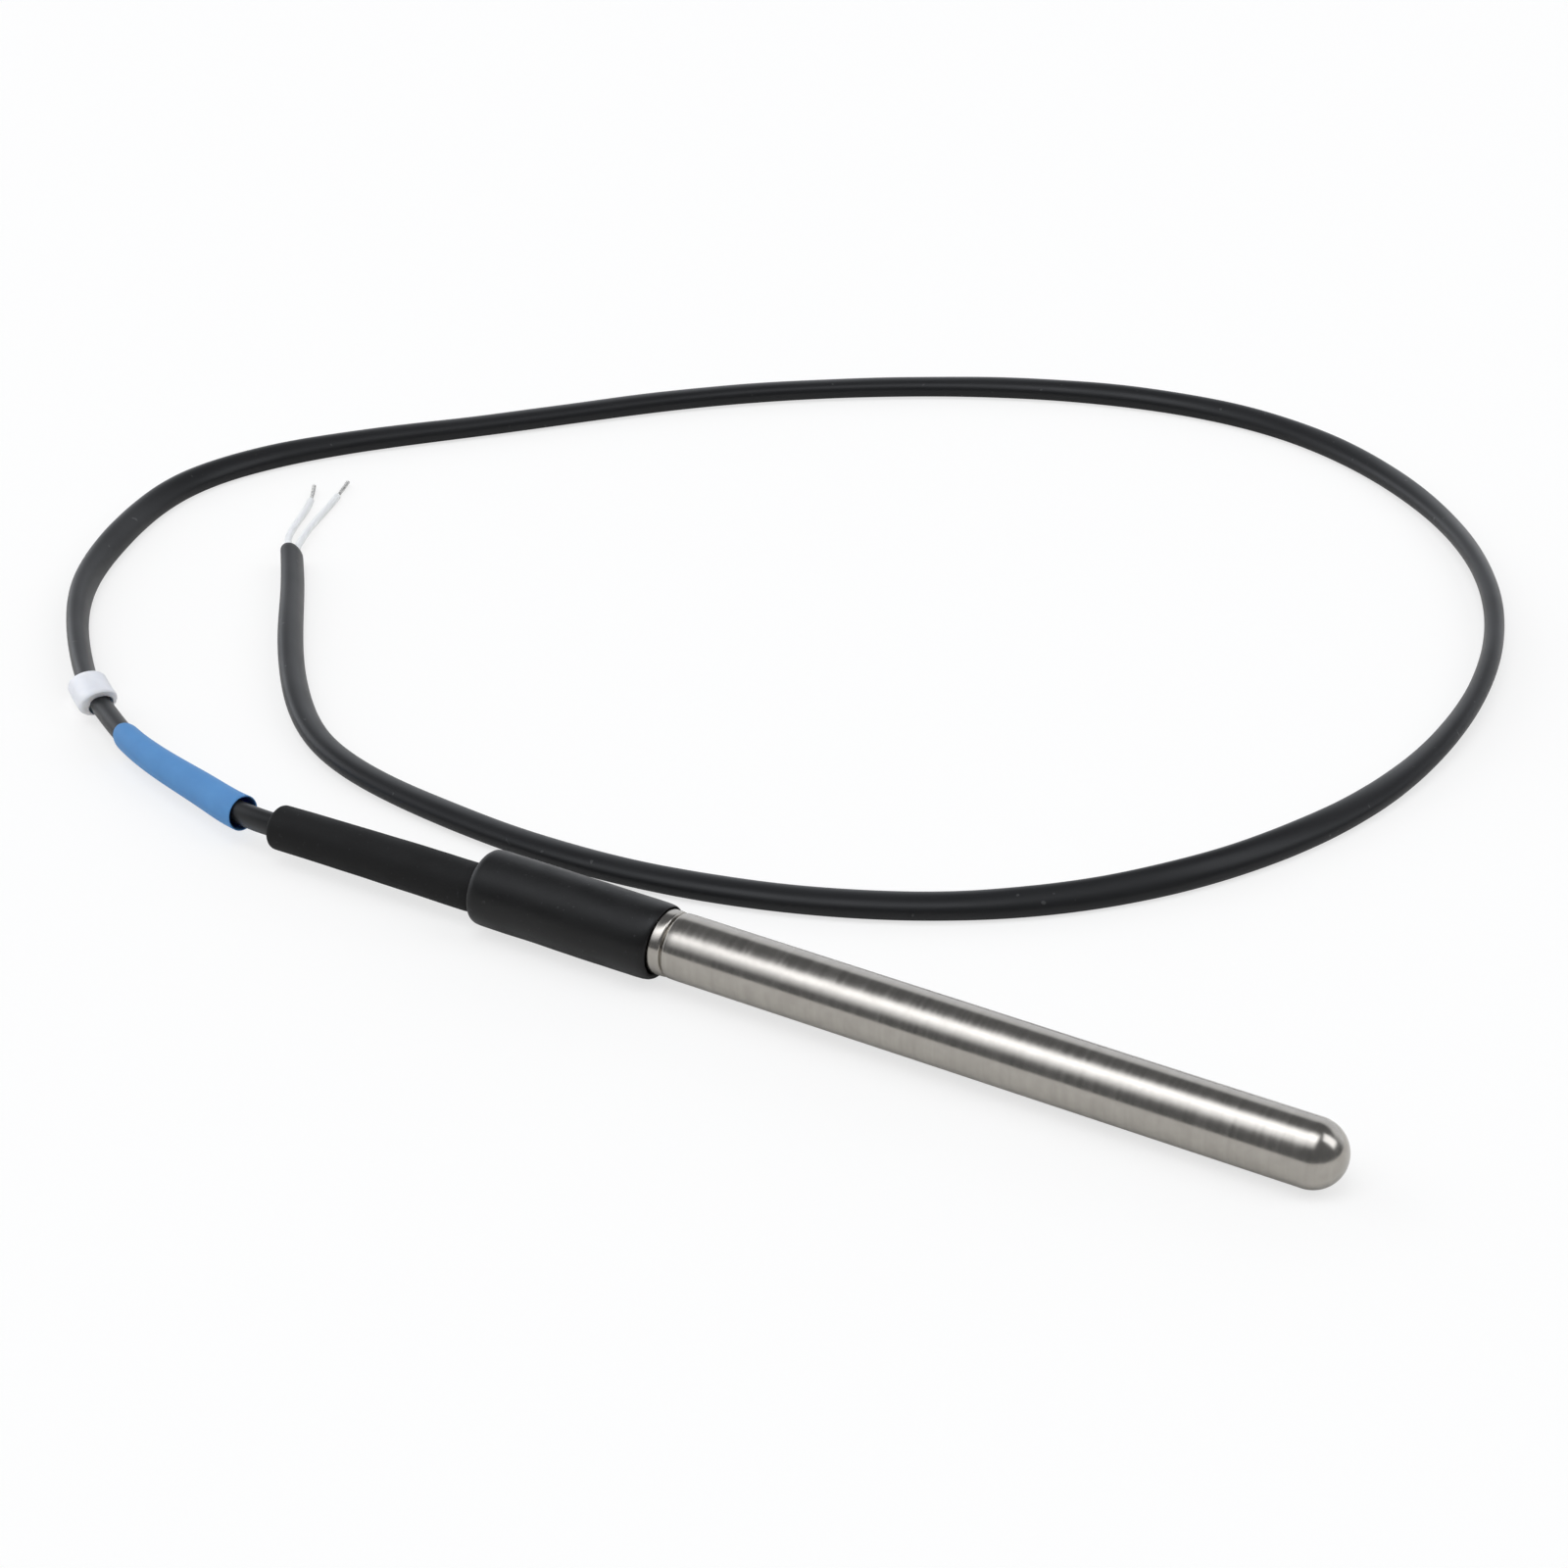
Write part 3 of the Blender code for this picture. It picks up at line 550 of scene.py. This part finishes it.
def marker_finish():
    """Soft blue tubing, with a slight bloom on its skin."""
    finish, shader = new_finish("soft_blue_tubing", 0.6, Subsurface_Weight=0.1, Specular_IOR_Level=0.25)
    scatter(shader, 0.4 * MM, (0.3, 0.5, 0.9))
    deep, pale = (0.082, 0.245, 0.51), (0.102, 0.282, 0.56)
    skin = grain(finish, 4200, 2.0)
    bloom = grain(finish, 300)
    connect(
        finish, shader, Base_Color=tinted(finish, ranged(finish, bloom, 0, 1), deep, pale),
        Roughness=ranged(finish, bloom, 0.55, 0.68), Normal=raised(finish, skin, 0.003 * MM),
    )
    return finish


def milky_finish():
    """Milky moulded plastic that lets some light through."""
    finish, shader = new_finish("milky_plastic", 0.34, Subsurface_Weight=0.45, Transmission_Weight=0.1)
    scatter(shader, 0.8 * MM, (0.8, 0.9, 1.0))
    cool, bright = (0.77, 0.775, 0.81), (0.87, 0.87, 0.885)
    cloud = grain(finish, 420)
    connect(
        finish, shader, Base_Color=tinted(finish, ranged(finish, cloud, 0, 1), cool, bright),
        Roughness=ranged(finish, cloud, 0.28, 0.42), Normal=raised(finish, cloud, 0.02 * MM),
    )
    return finish


def plain_finish(name, dark, light, roughness, scale, height, metallic=0.0):
    """A finish for small or inner pieces: two close tints, an uneven gloss and a grain of that height."""
    finish, shader = new_finish(name, roughness, metallic)
    cloud = grain(finish, scale)
    connect(
        finish, shader, Base_Color=tinted(finish, ranged(finish, cloud, 0, 1), dark, light),
        Roughness=ranged(finish, cloud, roughness - 0.05, roughness + 0.07),
        Normal=raised(finish, cloud, height),
    )
    return finish


def settle(piece, node, finish):
    """Gives a finished piece its material and its place on the part."""
    piece.data.materials.clear()
    piece.data.materials.append(finish)
    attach(piece, "root")
    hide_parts(node)
    return piece


def pick(*pieces):
    """Selects these pieces alone, with the first one active."""
    bpy.ops.object.select_all(action="DESELECT")
    for piece in pieces:
        piece.select_set(True)
    if pieces:
        bpy.context.view_layer.objects.active = pieces[0]


def start_shell(name, sides, ring):
    """Opens edit mode on one ring across X. A ring is its middle, half width, half height and lean."""
    middle, wide, high, lean = ring
    pick()
    bpy.ops.mesh.primitive_circle_add(vertices=sides, radius=wide, rotation=(0, math.pi / 2, 0))
    piece = bpy.context.active_object
    piece.name = piece.data.name = name
    bpy.ops.object.transform_apply(location=True, rotation=True, scale=True)
    bpy.ops.object.mode_set(mode="EDIT")
    bpy.ops.mesh.select_all(action="SELECT")
    bpy.ops.transform.resize(value=(1, 1, high / wide), center_override=(0, 0, 0))
    if lean:
        bpy.ops.transform.rotate(value=lean, orient_axis="Y", center_override=(0, 0, 0))
    bpy.ops.transform.translate(value=middle)
    return piece


def extrude_rings(rings):
    """Draws the shell on from ring to ring."""
    for before, after in zip(rings, rings[1:]):
        step = Vector(after[0]) - Vector(before[0])
        bpy.ops.mesh.extrude_region_move(TRANSFORM_OT_translate={"value": step})
        grow = (after[2] / before[2], after[1] / before[1], after[2] / before[2])
        bpy.ops.transform.resize(value=grow, center_override=after[0])
        if after[3] != before[3]:
            bpy.ops.transform.rotate(value=after[3] - before[3], orient_axis="Y", center_override=after[0])


def ring_shell(name, sides, rings, joined):
    """A shell of rings. Joined, its last ring meets its first one; otherwise both ends are filled."""
    piece = start_shell(name, sides, rings[0])
    extrude_rings(rings)
    bpy.ops.mesh.select_all(action="SELECT")
    if joined:
        bpy.ops.mesh.remove_doubles(threshold=WELD)
    else:
        bpy.ops.mesh.fill_holes(sides=0)
    bpy.ops.mesh.select_all(action="SELECT")
    bpy.ops.mesh.normals_make_consistent(inside=False)
    bpy.ops.object.mode_set(mode="OBJECT")
    bpy.ops.object.shade_smooth_by_angle(angle=SHELL_SHARP)
    return piece


def turned_rings(outline):
    """Round rings at stations along -X, with their middles on the axis."""
    return [((-station, 0, 0), radius, radius, 0.0) for station, radius in outline]


def place_on_probe(piece):
    """Moves a piece that was drawn from the origin along -X onto the leaning probe."""
    piece.data.transform(Matrix.Translation(on_probe(0)) @ Matrix.Rotation(LEAN, 4, "Y"))


def place_on_lead(piece, turning=False):
    """Bends a piece that was drawn along +X onto the lead, turned with the oval jacket if asked."""
    points = np.empty(len(piece.data.vertices) * 3)
    piece.data.vertices.foreach_get("co", points)
    points = points.reshape(-1, 3)
    places, across, up = LEAD.frames(points[:, 0])
    tilt = lead_tilt(points[:, 0]) if turning else np.zeros(len(points))
    sideways = points[:, 1] * np.cos(tilt) - points[:, 2] * np.sin(tilt)
    upwards = points[:, 1] * np.sin(tilt) + points[:, 2] * np.cos(tilt)
    placed = places + across * sideways[:, None] + up * upwards[:, None]
    piece.data.vertices.foreach_set("co", placed.ravel())
    pick(piece)
    bpy.ops.object.mode_set(mode="EDIT")
    bpy.ops.mesh.select_all(action="SELECT")
    bpy.ops.mesh.normals_make_consistent(inside=False)
    bpy.ops.object.mode_set(mode="OBJECT")


def make_wavy(piece, height, size):
    """Soft unevenness of shrunk tubing, as a displacement that is applied."""
    texture = bpy.data.textures.new(piece.name, "CLOUDS")
    texture.noise_scale = size
    texture.noise_depth = 1
    waves = piece.modifiers.new("waves", "DISPLACE")
    waves.texture = texture
    waves.texture_coords = "GLOBAL"
    waves.strength = height
    waves.mid_level = 0.5
    pick(piece)
    bpy.ops.object.modifier_apply(modifier="waves")


def evenly(start, stop, count):
    """Values from start to stop in even steps."""
    return [start + (stop - start) * i / (count - 1) for i in range(count)]


def share_between(value, low, high):
    """How far a value lies from low to high, as a share from 0 to 1."""
    return min(1.0, max(0.0, (value - low) / (high - low)))


def dome(radius, start, stop, steps):
    """Stations and radii of a dome about the sheath's dome centre, by angle in degrees from the tip."""
    angles = [math.radians(a) for a in evenly(start, stop, steps)]
    return [(SHEATH_RADIUS - radius * math.cos(a), radius * math.sin(a)) for a in angles]


def sheath_radius(station):
    """The outer radius near the groove: a narrow line cut in a shallow dip."""
    away = station - GROOVE_PLACE
    line = GROOVE_DEPTH * math.exp(-((away / GROOVE_HALF_WIDTH) ** 2))
    dip = SHOULDER_DEPTH * math.exp(-((away / SHOULDER_HALF_WIDTH) ** 2))
    return SHEATH_RADIUS - line - dip


def make_steel_sheath(finish):
    """Turned tube: bore, rim, groove and dome in one shell."""
    near_groove = evenly(GROOVE_PLACE + GROOVE_REACH, GROOVE_PLACE - GROOVE_REACH, 79)
    edge = SHEATH_RIM_ROUND
    outline = dome(SHEATH_BORE, 2, 90, 12)
    outline += [(SHEATH_LENGTH - edge, SHEATH_BORE), (SHEATH_LENGTH, SHEATH_BORE + edge)]
    outline += [(SHEATH_LENGTH, SHEATH_RADIUS - edge), (SHEATH_LENGTH - edge, SHEATH_RADIUS)]
    outline += [(station, sheath_radius(station)) for station in near_groove]
    outline += [(station, SHEATH_RADIUS) for station in evenly(*PLAIN_STRETCH, 6)]
    outline += dome(SHEATH_RADIUS, 90, 1, 28)
    piece = ring_shell("steel_sheath", ROUND_SIDES, turned_rings(outline), joined=False)
    place_on_probe(piece)
    return settle(piece, "sheath", finish)


def make_large_sleeve(finish):
    """Shrink sleeve with a soft rolled mouth, a full body and a rear end drawn in round the small sleeve."""
    front = SHEATH_LENGTH - SEAL_COVER
    rear = SHEATH_LENGTH + SEAL_OVERHANG
    # Outlines of both ends, in millimetres: distance in from the end, and radius
    lip = [
        (0.75, 3.04), (0.35, 3.05), (0.1, 3.1), (0.0, 3.19), (0.03, 3.3), (0.16, 3.4), (0.4, 3.48),
        (0.8, 3.53),
    ]
    tail = [
        (0.75, 3.54), (0.42, 3.5), (0.2, 3.39), (0.06, 3.2), (0.0, 2.95), (0.0, 2.65), (0.05, 2.46),
        (0.2, 2.38), (0.4, 2.36),
    ]
    rings = []
    for along, radius in lip:
        share = share_between(radius * MM, SEAL_LIP_RADIUS, SEAL_RADIUS)
        middle = (-front - along * MM, SEAL_SIDE * share, -SEAL_DROP * share)
        rings.append((middle, radius * MM, radius * MM, SEAL_MOUTH_SLANT))
    for station in evenly(front + SEAL_FRONT_INSET, rear - SEAL_REAR_INSET, 22):
        rings.append(((-station, SEAL_SIDE, -SEAL_DROP), SEAL_RADIUS, SEAL_RADIUS, 0.0))
    for along, radius in tail:
        share = share_between(radius * MM, SEAL_TAIL_RADIUS, SEAL_RADIUS)
        drop = SEAL_DROP * share + SEAL_TAIL_DROP * (1 - share)
        rings.append(((-rear + along * MM, SEAL_SIDE * share, -drop), radius * MM, radius * MM, 0.0))
    bore_rear = (-SHEATH_LENGTH - SEAL_REAR_BORE_GAP, 0, -SEAL_REAR_BORE_DROP)
    bore_front = (-front - SEAL_MOUTH_BORE_DEPTH, 0, 0)
    rings.append((bore_rear, SEAL_REAR_BORE, SEAL_REAR_BORE, 0.0))
    rings.append((bore_front, SEAL_MOUTH_BORE, SEAL_MOUTH_BORE, SEAL_MOUTH_SLANT))
    rings.append(rings[0])
    piece = ring_shell("large_shrink_sleeve", TUBE_SIDES, rings, joined=True)
    place_on_probe(piece)
    make_wavy(piece, SEAL_WAVE, SEAL_WAVE_LENGTH)
    return settle(piece, "seal_sleeve", finish)


def make_small_sleeve(finish):
    """Shrink sleeve over the lead, squeezed inside the sheath and cut nearly square at its far end."""
    shape = [
        (STRAIN_START, STRAIN_SQUEEZED_RADIUS),
        (STRAIN_SQUEEZED_END, STRAIN_SQUEEZED_RADIUS),
        (STRAIN_FULL_START, STRAIN_RADIUS),
        (STRAIN_FULL_END, STRAIN_RADIUS),
        (STRAIN_END, STRAIN_REAR_RADIUS),
    ]
    # The far end's edge, in millimetres: distance in from the end, and radius
    rear = [(0.3, 2.13), (0.14, 2.07), (0.04, 1.97), (0.0, 1.85), (0.02, 1.73), (0.1, 1.65), (0.25, 1.62)]
    body = evenly(STRAIN_START, STRAIN_END - STRAIN_REAR_INSET, 40)
    bore = evenly(STRAIN_END - STRAIN_BORE_REAR_INSET, STRAIN_START + STRAIN_BORE_FRONT_INSET, 20)
    outline = [(d, float(np.interp(d, *zip(*shape)))) for d in body]
    outline += [(STRAIN_END - along * MM, radius * MM) for along, radius in rear]
    outline += [(d, STRAIN_BORE) for d in bore]
    rings = [((d, 0, 0), radius, radius, 0.0) for d, radius in outline + outline[:1]]
    piece = ring_shell("small_shrink_sleeve", TUBE_SIDES, rings, joined=True)
    place_on_lead(piece)
    make_wavy(piece, STRAIN_WAVE, STRAIN_WAVE_LENGTH)
    return settle(piece, "strain_sleeve", finish)


def make_blue_sleeve(finish):
    """A loose length of soft tubing: round at its mouth, pressed flat with the lead at its far end."""
    start, stop = MARKER_START, MARKER_START + MARKER_LENGTH

    def ring(d, inset):
        """One ring of the sleeve, drawn in from its skin."""
        share = (d - start) / MARKER_LENGTH
        wide, high = (mouth + (far - mouth) * share for mouth, far in zip(MARKER_MOUTH, MARKER_FAR))
        hang = MARKER_HANG * (1 - share)
        return (d, 0, -hang), wide - inset, high - inset, 0.0

    # The soft edge at both ends: millimetres in from the end, and share of the wall
    edge = [(0.0, 0.45), (0.0, 0.75), (0.05, 0.93), (0.14, 1.0)]
    outer = [(start + along * MM, k) for along, k in edge]
    outer += [(d, 1.0) for d in evenly(start + MARKER_INSET, stop - MARKER_INSET, 26)]
    outer += [(stop - along * MM, k) for along, k in edge[::-1]]
    bore = [stop - MARKER_BORE_INSET, *evenly(stop - MARKER_INSET, start + MARKER_INSET, 12)]
    bore += [start + MARKER_BORE_INSET]
    rings = [ring(d, MARKER_WALL * (1 - k)) for d, k in outer]
    rings += [ring(d, MARKER_WALL) for d in bore]
    rings.append(rings[0])
    piece = ring_shell("blue_marker_sleeve", TUBE_SIDES, rings, joined=True)
    place_on_lead(piece, turning=True)
    return settle(piece, "marker_sleeve", finish)


def make_milky_ring(finish):
    """A thick moulded collar with soft edges, its ends cut on a slant."""
    start, stop = RING_START, RING_START + RING_LENGTH
    # The soft edge at both ends, in millimetres: distance in from the end, and how far below the skin
    edge = [(0.0, 0.3), (0.06, 0.16), (0.2, 0.06), (0.42, 0.0)]
    outline = [(start + along * MM, RING_RADIUS - inset * MM) for along, inset in edge]
    outline += [(d, RING_RADIUS) for d in evenly(start + RING_INSET, stop - RING_INSET, 6)]
    outline += [(stop - along * MM, RING_RADIUS - inset * MM) for along, inset in edge[::-1]]
    taller = 1 / math.cos(RING_LEAN)
    rings = [((d, *RING_SHIFT), radius, radius * taller, RING_LEAN) for d, radius in outline]
    rings += [((d, 0, 0), RING_BORE[0], RING_BORE[1] * taller, RING_LEAN) for d in evenly(stop, start, 6)]
    piece = ring_shell("milky_marker_ring", TUBE_SIDES, rings + rings[:1], joined=True)
    place_on_lead(piece)
    return settle(piece, "marker_ring", finish)


def loft(name, rings, lengths):
    """A closed skin over rings of points, with a UV map: round the ring, and metres along it."""
    rings = np.asarray(rings)
    count, sides = rings.shape[:2]
    faces = []
    for i in range(count - 1):
        for k in range(sides):
            after = (k + 1) % sides
            faces.append((i * sides + k, i * sides + after, (i + 1) * sides + after, (i + 1) * sides + k))
    faces.append(tuple(range(sides))[::-1])
    faces.append(tuple((count - 1) * sides + k for k in range(sides)))
    mesh = bpy.data.meshes.new(name)
    mesh.from_pydata(rings.reshape(-1, 3).tolist(), [], faces)
    layer = mesh.uv_layers.new(name="UVMap")
    for polygon in mesh.polygons:
        wraps = len(polygon.vertices) == 4 and {v % sides for v in polygon.vertices} == {0, sides - 1}
        for loop in polygon.loop_indices:
            i, k = divmod(mesh.loops[loop].vertex_index, sides)
            layer.data[loop].uv = ((k or sides if wraps else k) / sides, lengths[i])
    bm = bmesh.new()
    bm.from_mesh(mesh)
    bmesh.ops.recalc_face_normals(bm, faces=bm.faces)
    bm.to_mesh(mesh)
    bm.free()
    mesh.shade_smooth()
    mesh.set_sharp_from_angle(angle=LOFT_SHARP)
    piece = bpy.data.objects.new(name, mesh)
    bpy.context.scene.collection.objects.link(piece)
    return piece


def make_lead(finish):
    """The oval jacket. Its cut end is a shallow recess that the two cores come out of."""
    run = np.arange(LEAD_START, LEAD_STOP - LEAD_CUT_INSET, LEAD_STEP)
    # Rings of the cut end: millimetres past the end, and share of the jacket's size
    cut = [(-0.12, 1.0), (-0.03, 0.97), (0.0, 0.92), (0.0, 0.84), (-0.06, 0.8), (-0.9, 0.78)]
    distances = np.concatenate([run, [LEAD_STOP + along * MM for along, _ in cut]])
    shares = np.concatenate([np.ones(len(run)), [share for _, share in cut]])
    _, across, up, sideways, upwards = lead_sections(
        distances, LEAD_HALF_WIDTH * shares, LEAD_HALF_HEIGHT * shares
    )
    middles = lead_middles(distances)
    rings = middles[:, None] + across[:, None] * sideways[..., None] + up[:, None] * upwards[..., None]
    piece = settle(loft("black_lead", rings, distances), "lead_jacket", finish)
    return piece, middles[: len(run) + 1]


def tube(name, route, outline, sides):
    """A round rod along a route. Outline holds distances along it and radii."""
    distances = np.array([d for d, _ in outline])
    radii = np.array([radius for _, radius in outline])
    places, across, up = route.frames(distances)
    angles = np.linspace(0, 2 * math.pi, sides, endpoint=False)
    ring = across[:, None] * np.cos(angles)[None, :, None] + up[:, None] * np.sin(angles)[None, :, None]
    return loft(name, places[:, None] + ring * radii[:, None, None], distances)


def core_route(number):
    """A free core: out of the jacket's end beside its twin, and down onto the surface."""
    end = np.array([LEAD_STOP - CORE_START_BACK, LEAD_STOP])
    middles = lead_middles(end)
    _, across, up = LEAD.frames(end)
    tilt = lead_tilt(end)[:, None]
    side = -1 if number == 1 else 1
    starts = middles + side * CORE_OFFSET * (across * np.cos(tilt) + up * np.sin(tilt))
    return Route([*starts, *(np.array(FREE_CORES[number - 1]) * MM)], samples=CORE_SAMPLES)


def twisted_strands(number, route, start, finish):
    """Fine strands laid round a straight one, fraying a little towards their ends."""
    strands = []
    stop = route.length
    distances = np.linspace(start, stop, 40)
    for k in range(STRANDS_AROUND + 1):
        places, across, up = route.frames(distances)
        if k:
            angles = 2 * math.pi * (k / STRANDS_AROUND + (distances - start) / STRAND_LAY)
            fray = 1 + STRAND_FRAY * (distances - start) / (stop - start)
            offset = across * np.cos(angles)[:, None] + up * np.sin(angles)[:, None]
            places = places + STRAND_SPREAD * STRAND_RADIUS * fray[:, None] * offset
        line = Route(places, samples=STRAND_SAMPLES)
        tip_radius = STRAND_TIP_SHARE * STRAND_RADIUS
        rod = [(0, tip_radius), (STRAND_TIP, STRAND_RADIUS)]
        rod += [(d, STRAND_RADIUS) for d in evenly(2 * STRAND_TIP, line.length - STRAND_TIP, 40)]
        rod += [(line.length, tip_radius)]
        strands.append(tube(f"bared_strands_{number}", line, rod, STRAND_SIDES))
    pick(*strands)
    bpy.ops.object.join()
    strands[0].name = strands[0].data.name = f"bared_strands_{number}"
    return settle(strands[0], f"strand_end_{number}", finish)


def make_free_ends(white, tin):
    """Both cores with their bared strands."""
    pieces = []
    # The cut edge of the insulation: millimetres in from its end, and share of its radius
    edge = [(0.02, 0.95), (0.0, 0.86)]
    for number in (1, 2):
        route = core_route(number)
        bared = route.length - STRAND_LENGTH
        outline = [(d, CORE_RADIUS) for d in evenly(0, bared - CORE_EDGE, 40)]
        outline += [(bared - back * MM, CORE_RADIUS * share) for back, share in edge]
        core = tube(f"white_core_{number}", route, outline, CORE_SIDES)
        pieces.append(settle(core, f"core_end_{number}", white))
        pieces.append(twisted_strands(number, route, bared - STRAND_HIDDEN, tin))
    return pieces


def dress_inner_pieces(white):
    """The pieces inside the sheath keep their solids and get finishes of their own."""
    finishes = {"inner_core": white}
    for kind, (name, dark, light, roughness, scale, height, metallic) in INNER_FINISHES.items():
        finishes[kind] = plain_finish(name, dark, light, roughness, scale, height * MM, metallic)
    for name, node in frame["nodes"].items():
        kind = name.rstrip("_12")
        if kind in finishes:
            node.data.materials.clear()
            node.data.materials.append(finishes[kind])


def mix_shaders(owner, share, first, second, output):
    """Mixes two shaders by a share and sends the result to the output node."""
    mixed = add_node(owner, "ShaderNodeMixShader", Fac=share)
    links = owner.node_tree.links
    links.new(first, mixed.inputs[1])
    links.new(second, mixed.inputs[2])
    links.new(mixed.outputs["Shader"], owner.node_tree.nodes[output].inputs["Surface"])


def make_floor():
    """A plain white surface. It glows for the camera and a little for mirrors, and otherwise is painted."""
    pick()
    bpy.ops.mesh.primitive_plane_add(size=FLOOR_SIZE, location=(0, 0, -FLOOR_DROP))
    floor = bpy.context.active_object
    floor.name = "floor"
    finish = bpy.data.materials.new("white_surface")
    finish.use_nodes = True
    nodes = finish.node_tree.nodes
    nodes.remove(nodes["Principled BSDF"])
    rays = add_node(finish, "ShaderNodeLightPath")
    glowing = calculated(finish, "MULTIPLY", rays.outputs["Is Camera Ray"], FLOOR_GLOW)
    for ray in ("Is Glossy Ray", "Is Transmission Ray"):
        shine = calculated(finish, "MULTIPLY", rays.outputs[ray], FLOOR_SHINE)
        glowing = calculated(finish, "MAXIMUM", glowing, shine)
    paint = add_node(finish, "ShaderNodeBsdfDiffuse", Color=(*FLOOR_COLOUR, 1))
    glow = add_node(finish, "ShaderNodeEmission", Color=PLAIN_WHITE, Strength=1.0)
    mix_shaders(finish, glowing, paint.outputs["BSDF"], glow.outputs["Emission"], "Material Output")
    floor.data.materials.append(finish)


def from_picture(right, back, up):
    """A direction given as the picture shows it."""
    return (PICTURE_RIGHT * right + CAMERA_HEADING * back + Vector((0, 0, up))).normalized()


def share_along(world, direction):
    """How far each ray of the world points along a direction, from -1 to 1."""
    ray = add_node(world, "ShaderNodeTexCoord").outputs["Generated"]
    node = add_node(world, "ShaderNodeVectorMath", {"operation": "DOT_PRODUCT"})
    world.node_tree.links.new(ray, node.inputs[0])
    node.inputs[1].default_value = direction
    return node.outputs["Value"]


def overlap(world, first, *others):
    """The product of shares, which is where all of them overlap."""
    for other in others:
        first = calculated(world, "MULTIPLY", first, other)
    return first


def overhead_strip(world):
    """A long graded softbox over the probe, with soft ends."""
    up = share_along(world, UP)
    near = share_along(world, (0, -1, 0))
    along = share_along(world, (1, 0, 0))
    skewed = ranged(world, along, STRIP_SKEW / 180, -STRIP_SKEW / 180, start=-0.45, stop=-0.25)
    turned = calculated(world, "DIVIDE", calculated(world, "ARCTAN2", up, near), math.pi)
    graded = add_node(world, "ShaderNodeValToRGB", Fac=calculated(world, "ADD", turned, skewed))
    stops = graded.color_ramp.elements
    while len(stops) < len(STRIP_STEPS):
        stops.new(0.5)
    for stop, (degrees, strength) in zip(stops, STRIP_STEPS):
        stop.position = degrees / 180
        stop.color = (*[strength / STRIP_LIGHT] * 3, 1)
    rear_end = ranged(world, along, 0, 1, start=-0.53, stop=-0.41)
    front_end = ranged(world, along, 1, 0, start=0.2, stop=0.34)
    return overlap(world, graded.outputs["Color"], overlap(world, rear_end, front_end), STRIP_LIGHT)


def right_softbox(world):
    """A softbox at the right, 45 degrees up."""
    middle = from_picture(0.7, -0.1, 0.7)
    level = middle.cross(UP).normalized()
    sideways = calculated(world, "ABSOLUTE", share_along(world, level), 0)
    upwards = calculated(world, "ABSOLUTE", share_along(world, level.cross(middle)), 0)
    return overlap(
        world, ranged(world, sideways, 1, 0, start=0.16, stop=0.26),
        ranged(world, upwards, 1, 0, start=0.28, stop=0.38),
        ranged(world, share_along(world, middle), 0, RIGHT_LIGHT, start=0.2, stop=0.3),
    )


def left_wall(world):
    """A pale wall at the left and slightly behind."""
    return overlap(
        world, ranged(world, share_along(world, -PICTURE_RIGHT), 0, LEFT_LIGHT, start=0.45, stop=0.7),
        ranged(world, share_along(world, CAMERA_HEADING), 0, 1, start=-0.3, stop=0.0),
        ranged(world, share_along(world, UP), 1, 0, start=0.6, stop=0.8),
    )


def backdrop(world):
    """A pale backdrop behind the object, which fades out from 30 to 40 degrees above the surface."""
    return overlap(
        world, ranged(world, share_along(world, CAMERA_HEADING), 0, BACKDROP_LIGHT, start=0.1, stop=0.45),
        ranged(world, share_along(world, UP), 1, 0, start=0.49, stop=0.64),
    )


def make_world():
    """The studio: softboxes, a wall and a backdrop in a dim room. The camera itself sees plain white."""
    world = bpy.data.worlds.new("studio")
    world.use_nodes = True
    bpy.context.scene.world = world
    nodes = world.node_tree.nodes
    total = ROOM_LIGHT
    for part in (overhead_strip, right_softbox, left_wall, backdrop):
        total = calculated(world, "ADD", part(world), total)
    studio = nodes["Background"]
    studio.inputs["Color"].default_value = (*STUDIO_TINT, 1)
    world.node_tree.links.new(total, studio.inputs["Strength"])
    plain = add_node(world, "ShaderNodeBackground", Color=PLAIN_WHITE, Strength=1.0)
    rays = add_node(world, "ShaderNodeLightPath")
    mix_shaders(
        world, rays.outputs["Is Camera Ray"], studio.outputs["Background"], plain.outputs["Background"],
        "World Output",
    )


make_camera()
white_core = plain_finish("white_core", (0.8, 0.8, 0.78), (0.88, 0.88, 0.87), 0.38, 700, 0.004 * MM)
tinned = plain_finish(
    "tinned_strands", (0.62, 0.61, 0.58), (0.76, 0.75, 0.72), 0.27, 2500, 0.002 * MM, metallic=1.0
)
firm_shrink = shrink_finish("firm_shrink_tubing", (0.006, 0.0059, 0.0058), 0.41, 0.25)
soft_shrink = shrink_finish("soft_shrink_tubing", (0.0104, 0.0102, 0.01), 0.62, 0.14)

lead, lead_path = make_lead(jacket_finish())
free_ends = make_free_ends(white_core, tinned)
make_steel_sheath(steel_finish())
make_large_sleeve(firm_shrink)
make_small_sleeve(soft_shrink)
blue_sleeve = make_blue_sleeve(marker_finish())
milky_ring = make_milky_ring(milky_finish())
dress_inner_pieces(white_core)

tuple(LEAD.at(STRAIN_END))

make_floor()
make_world()
bpy.context.scene.view_settings.view_transform = "Standard"
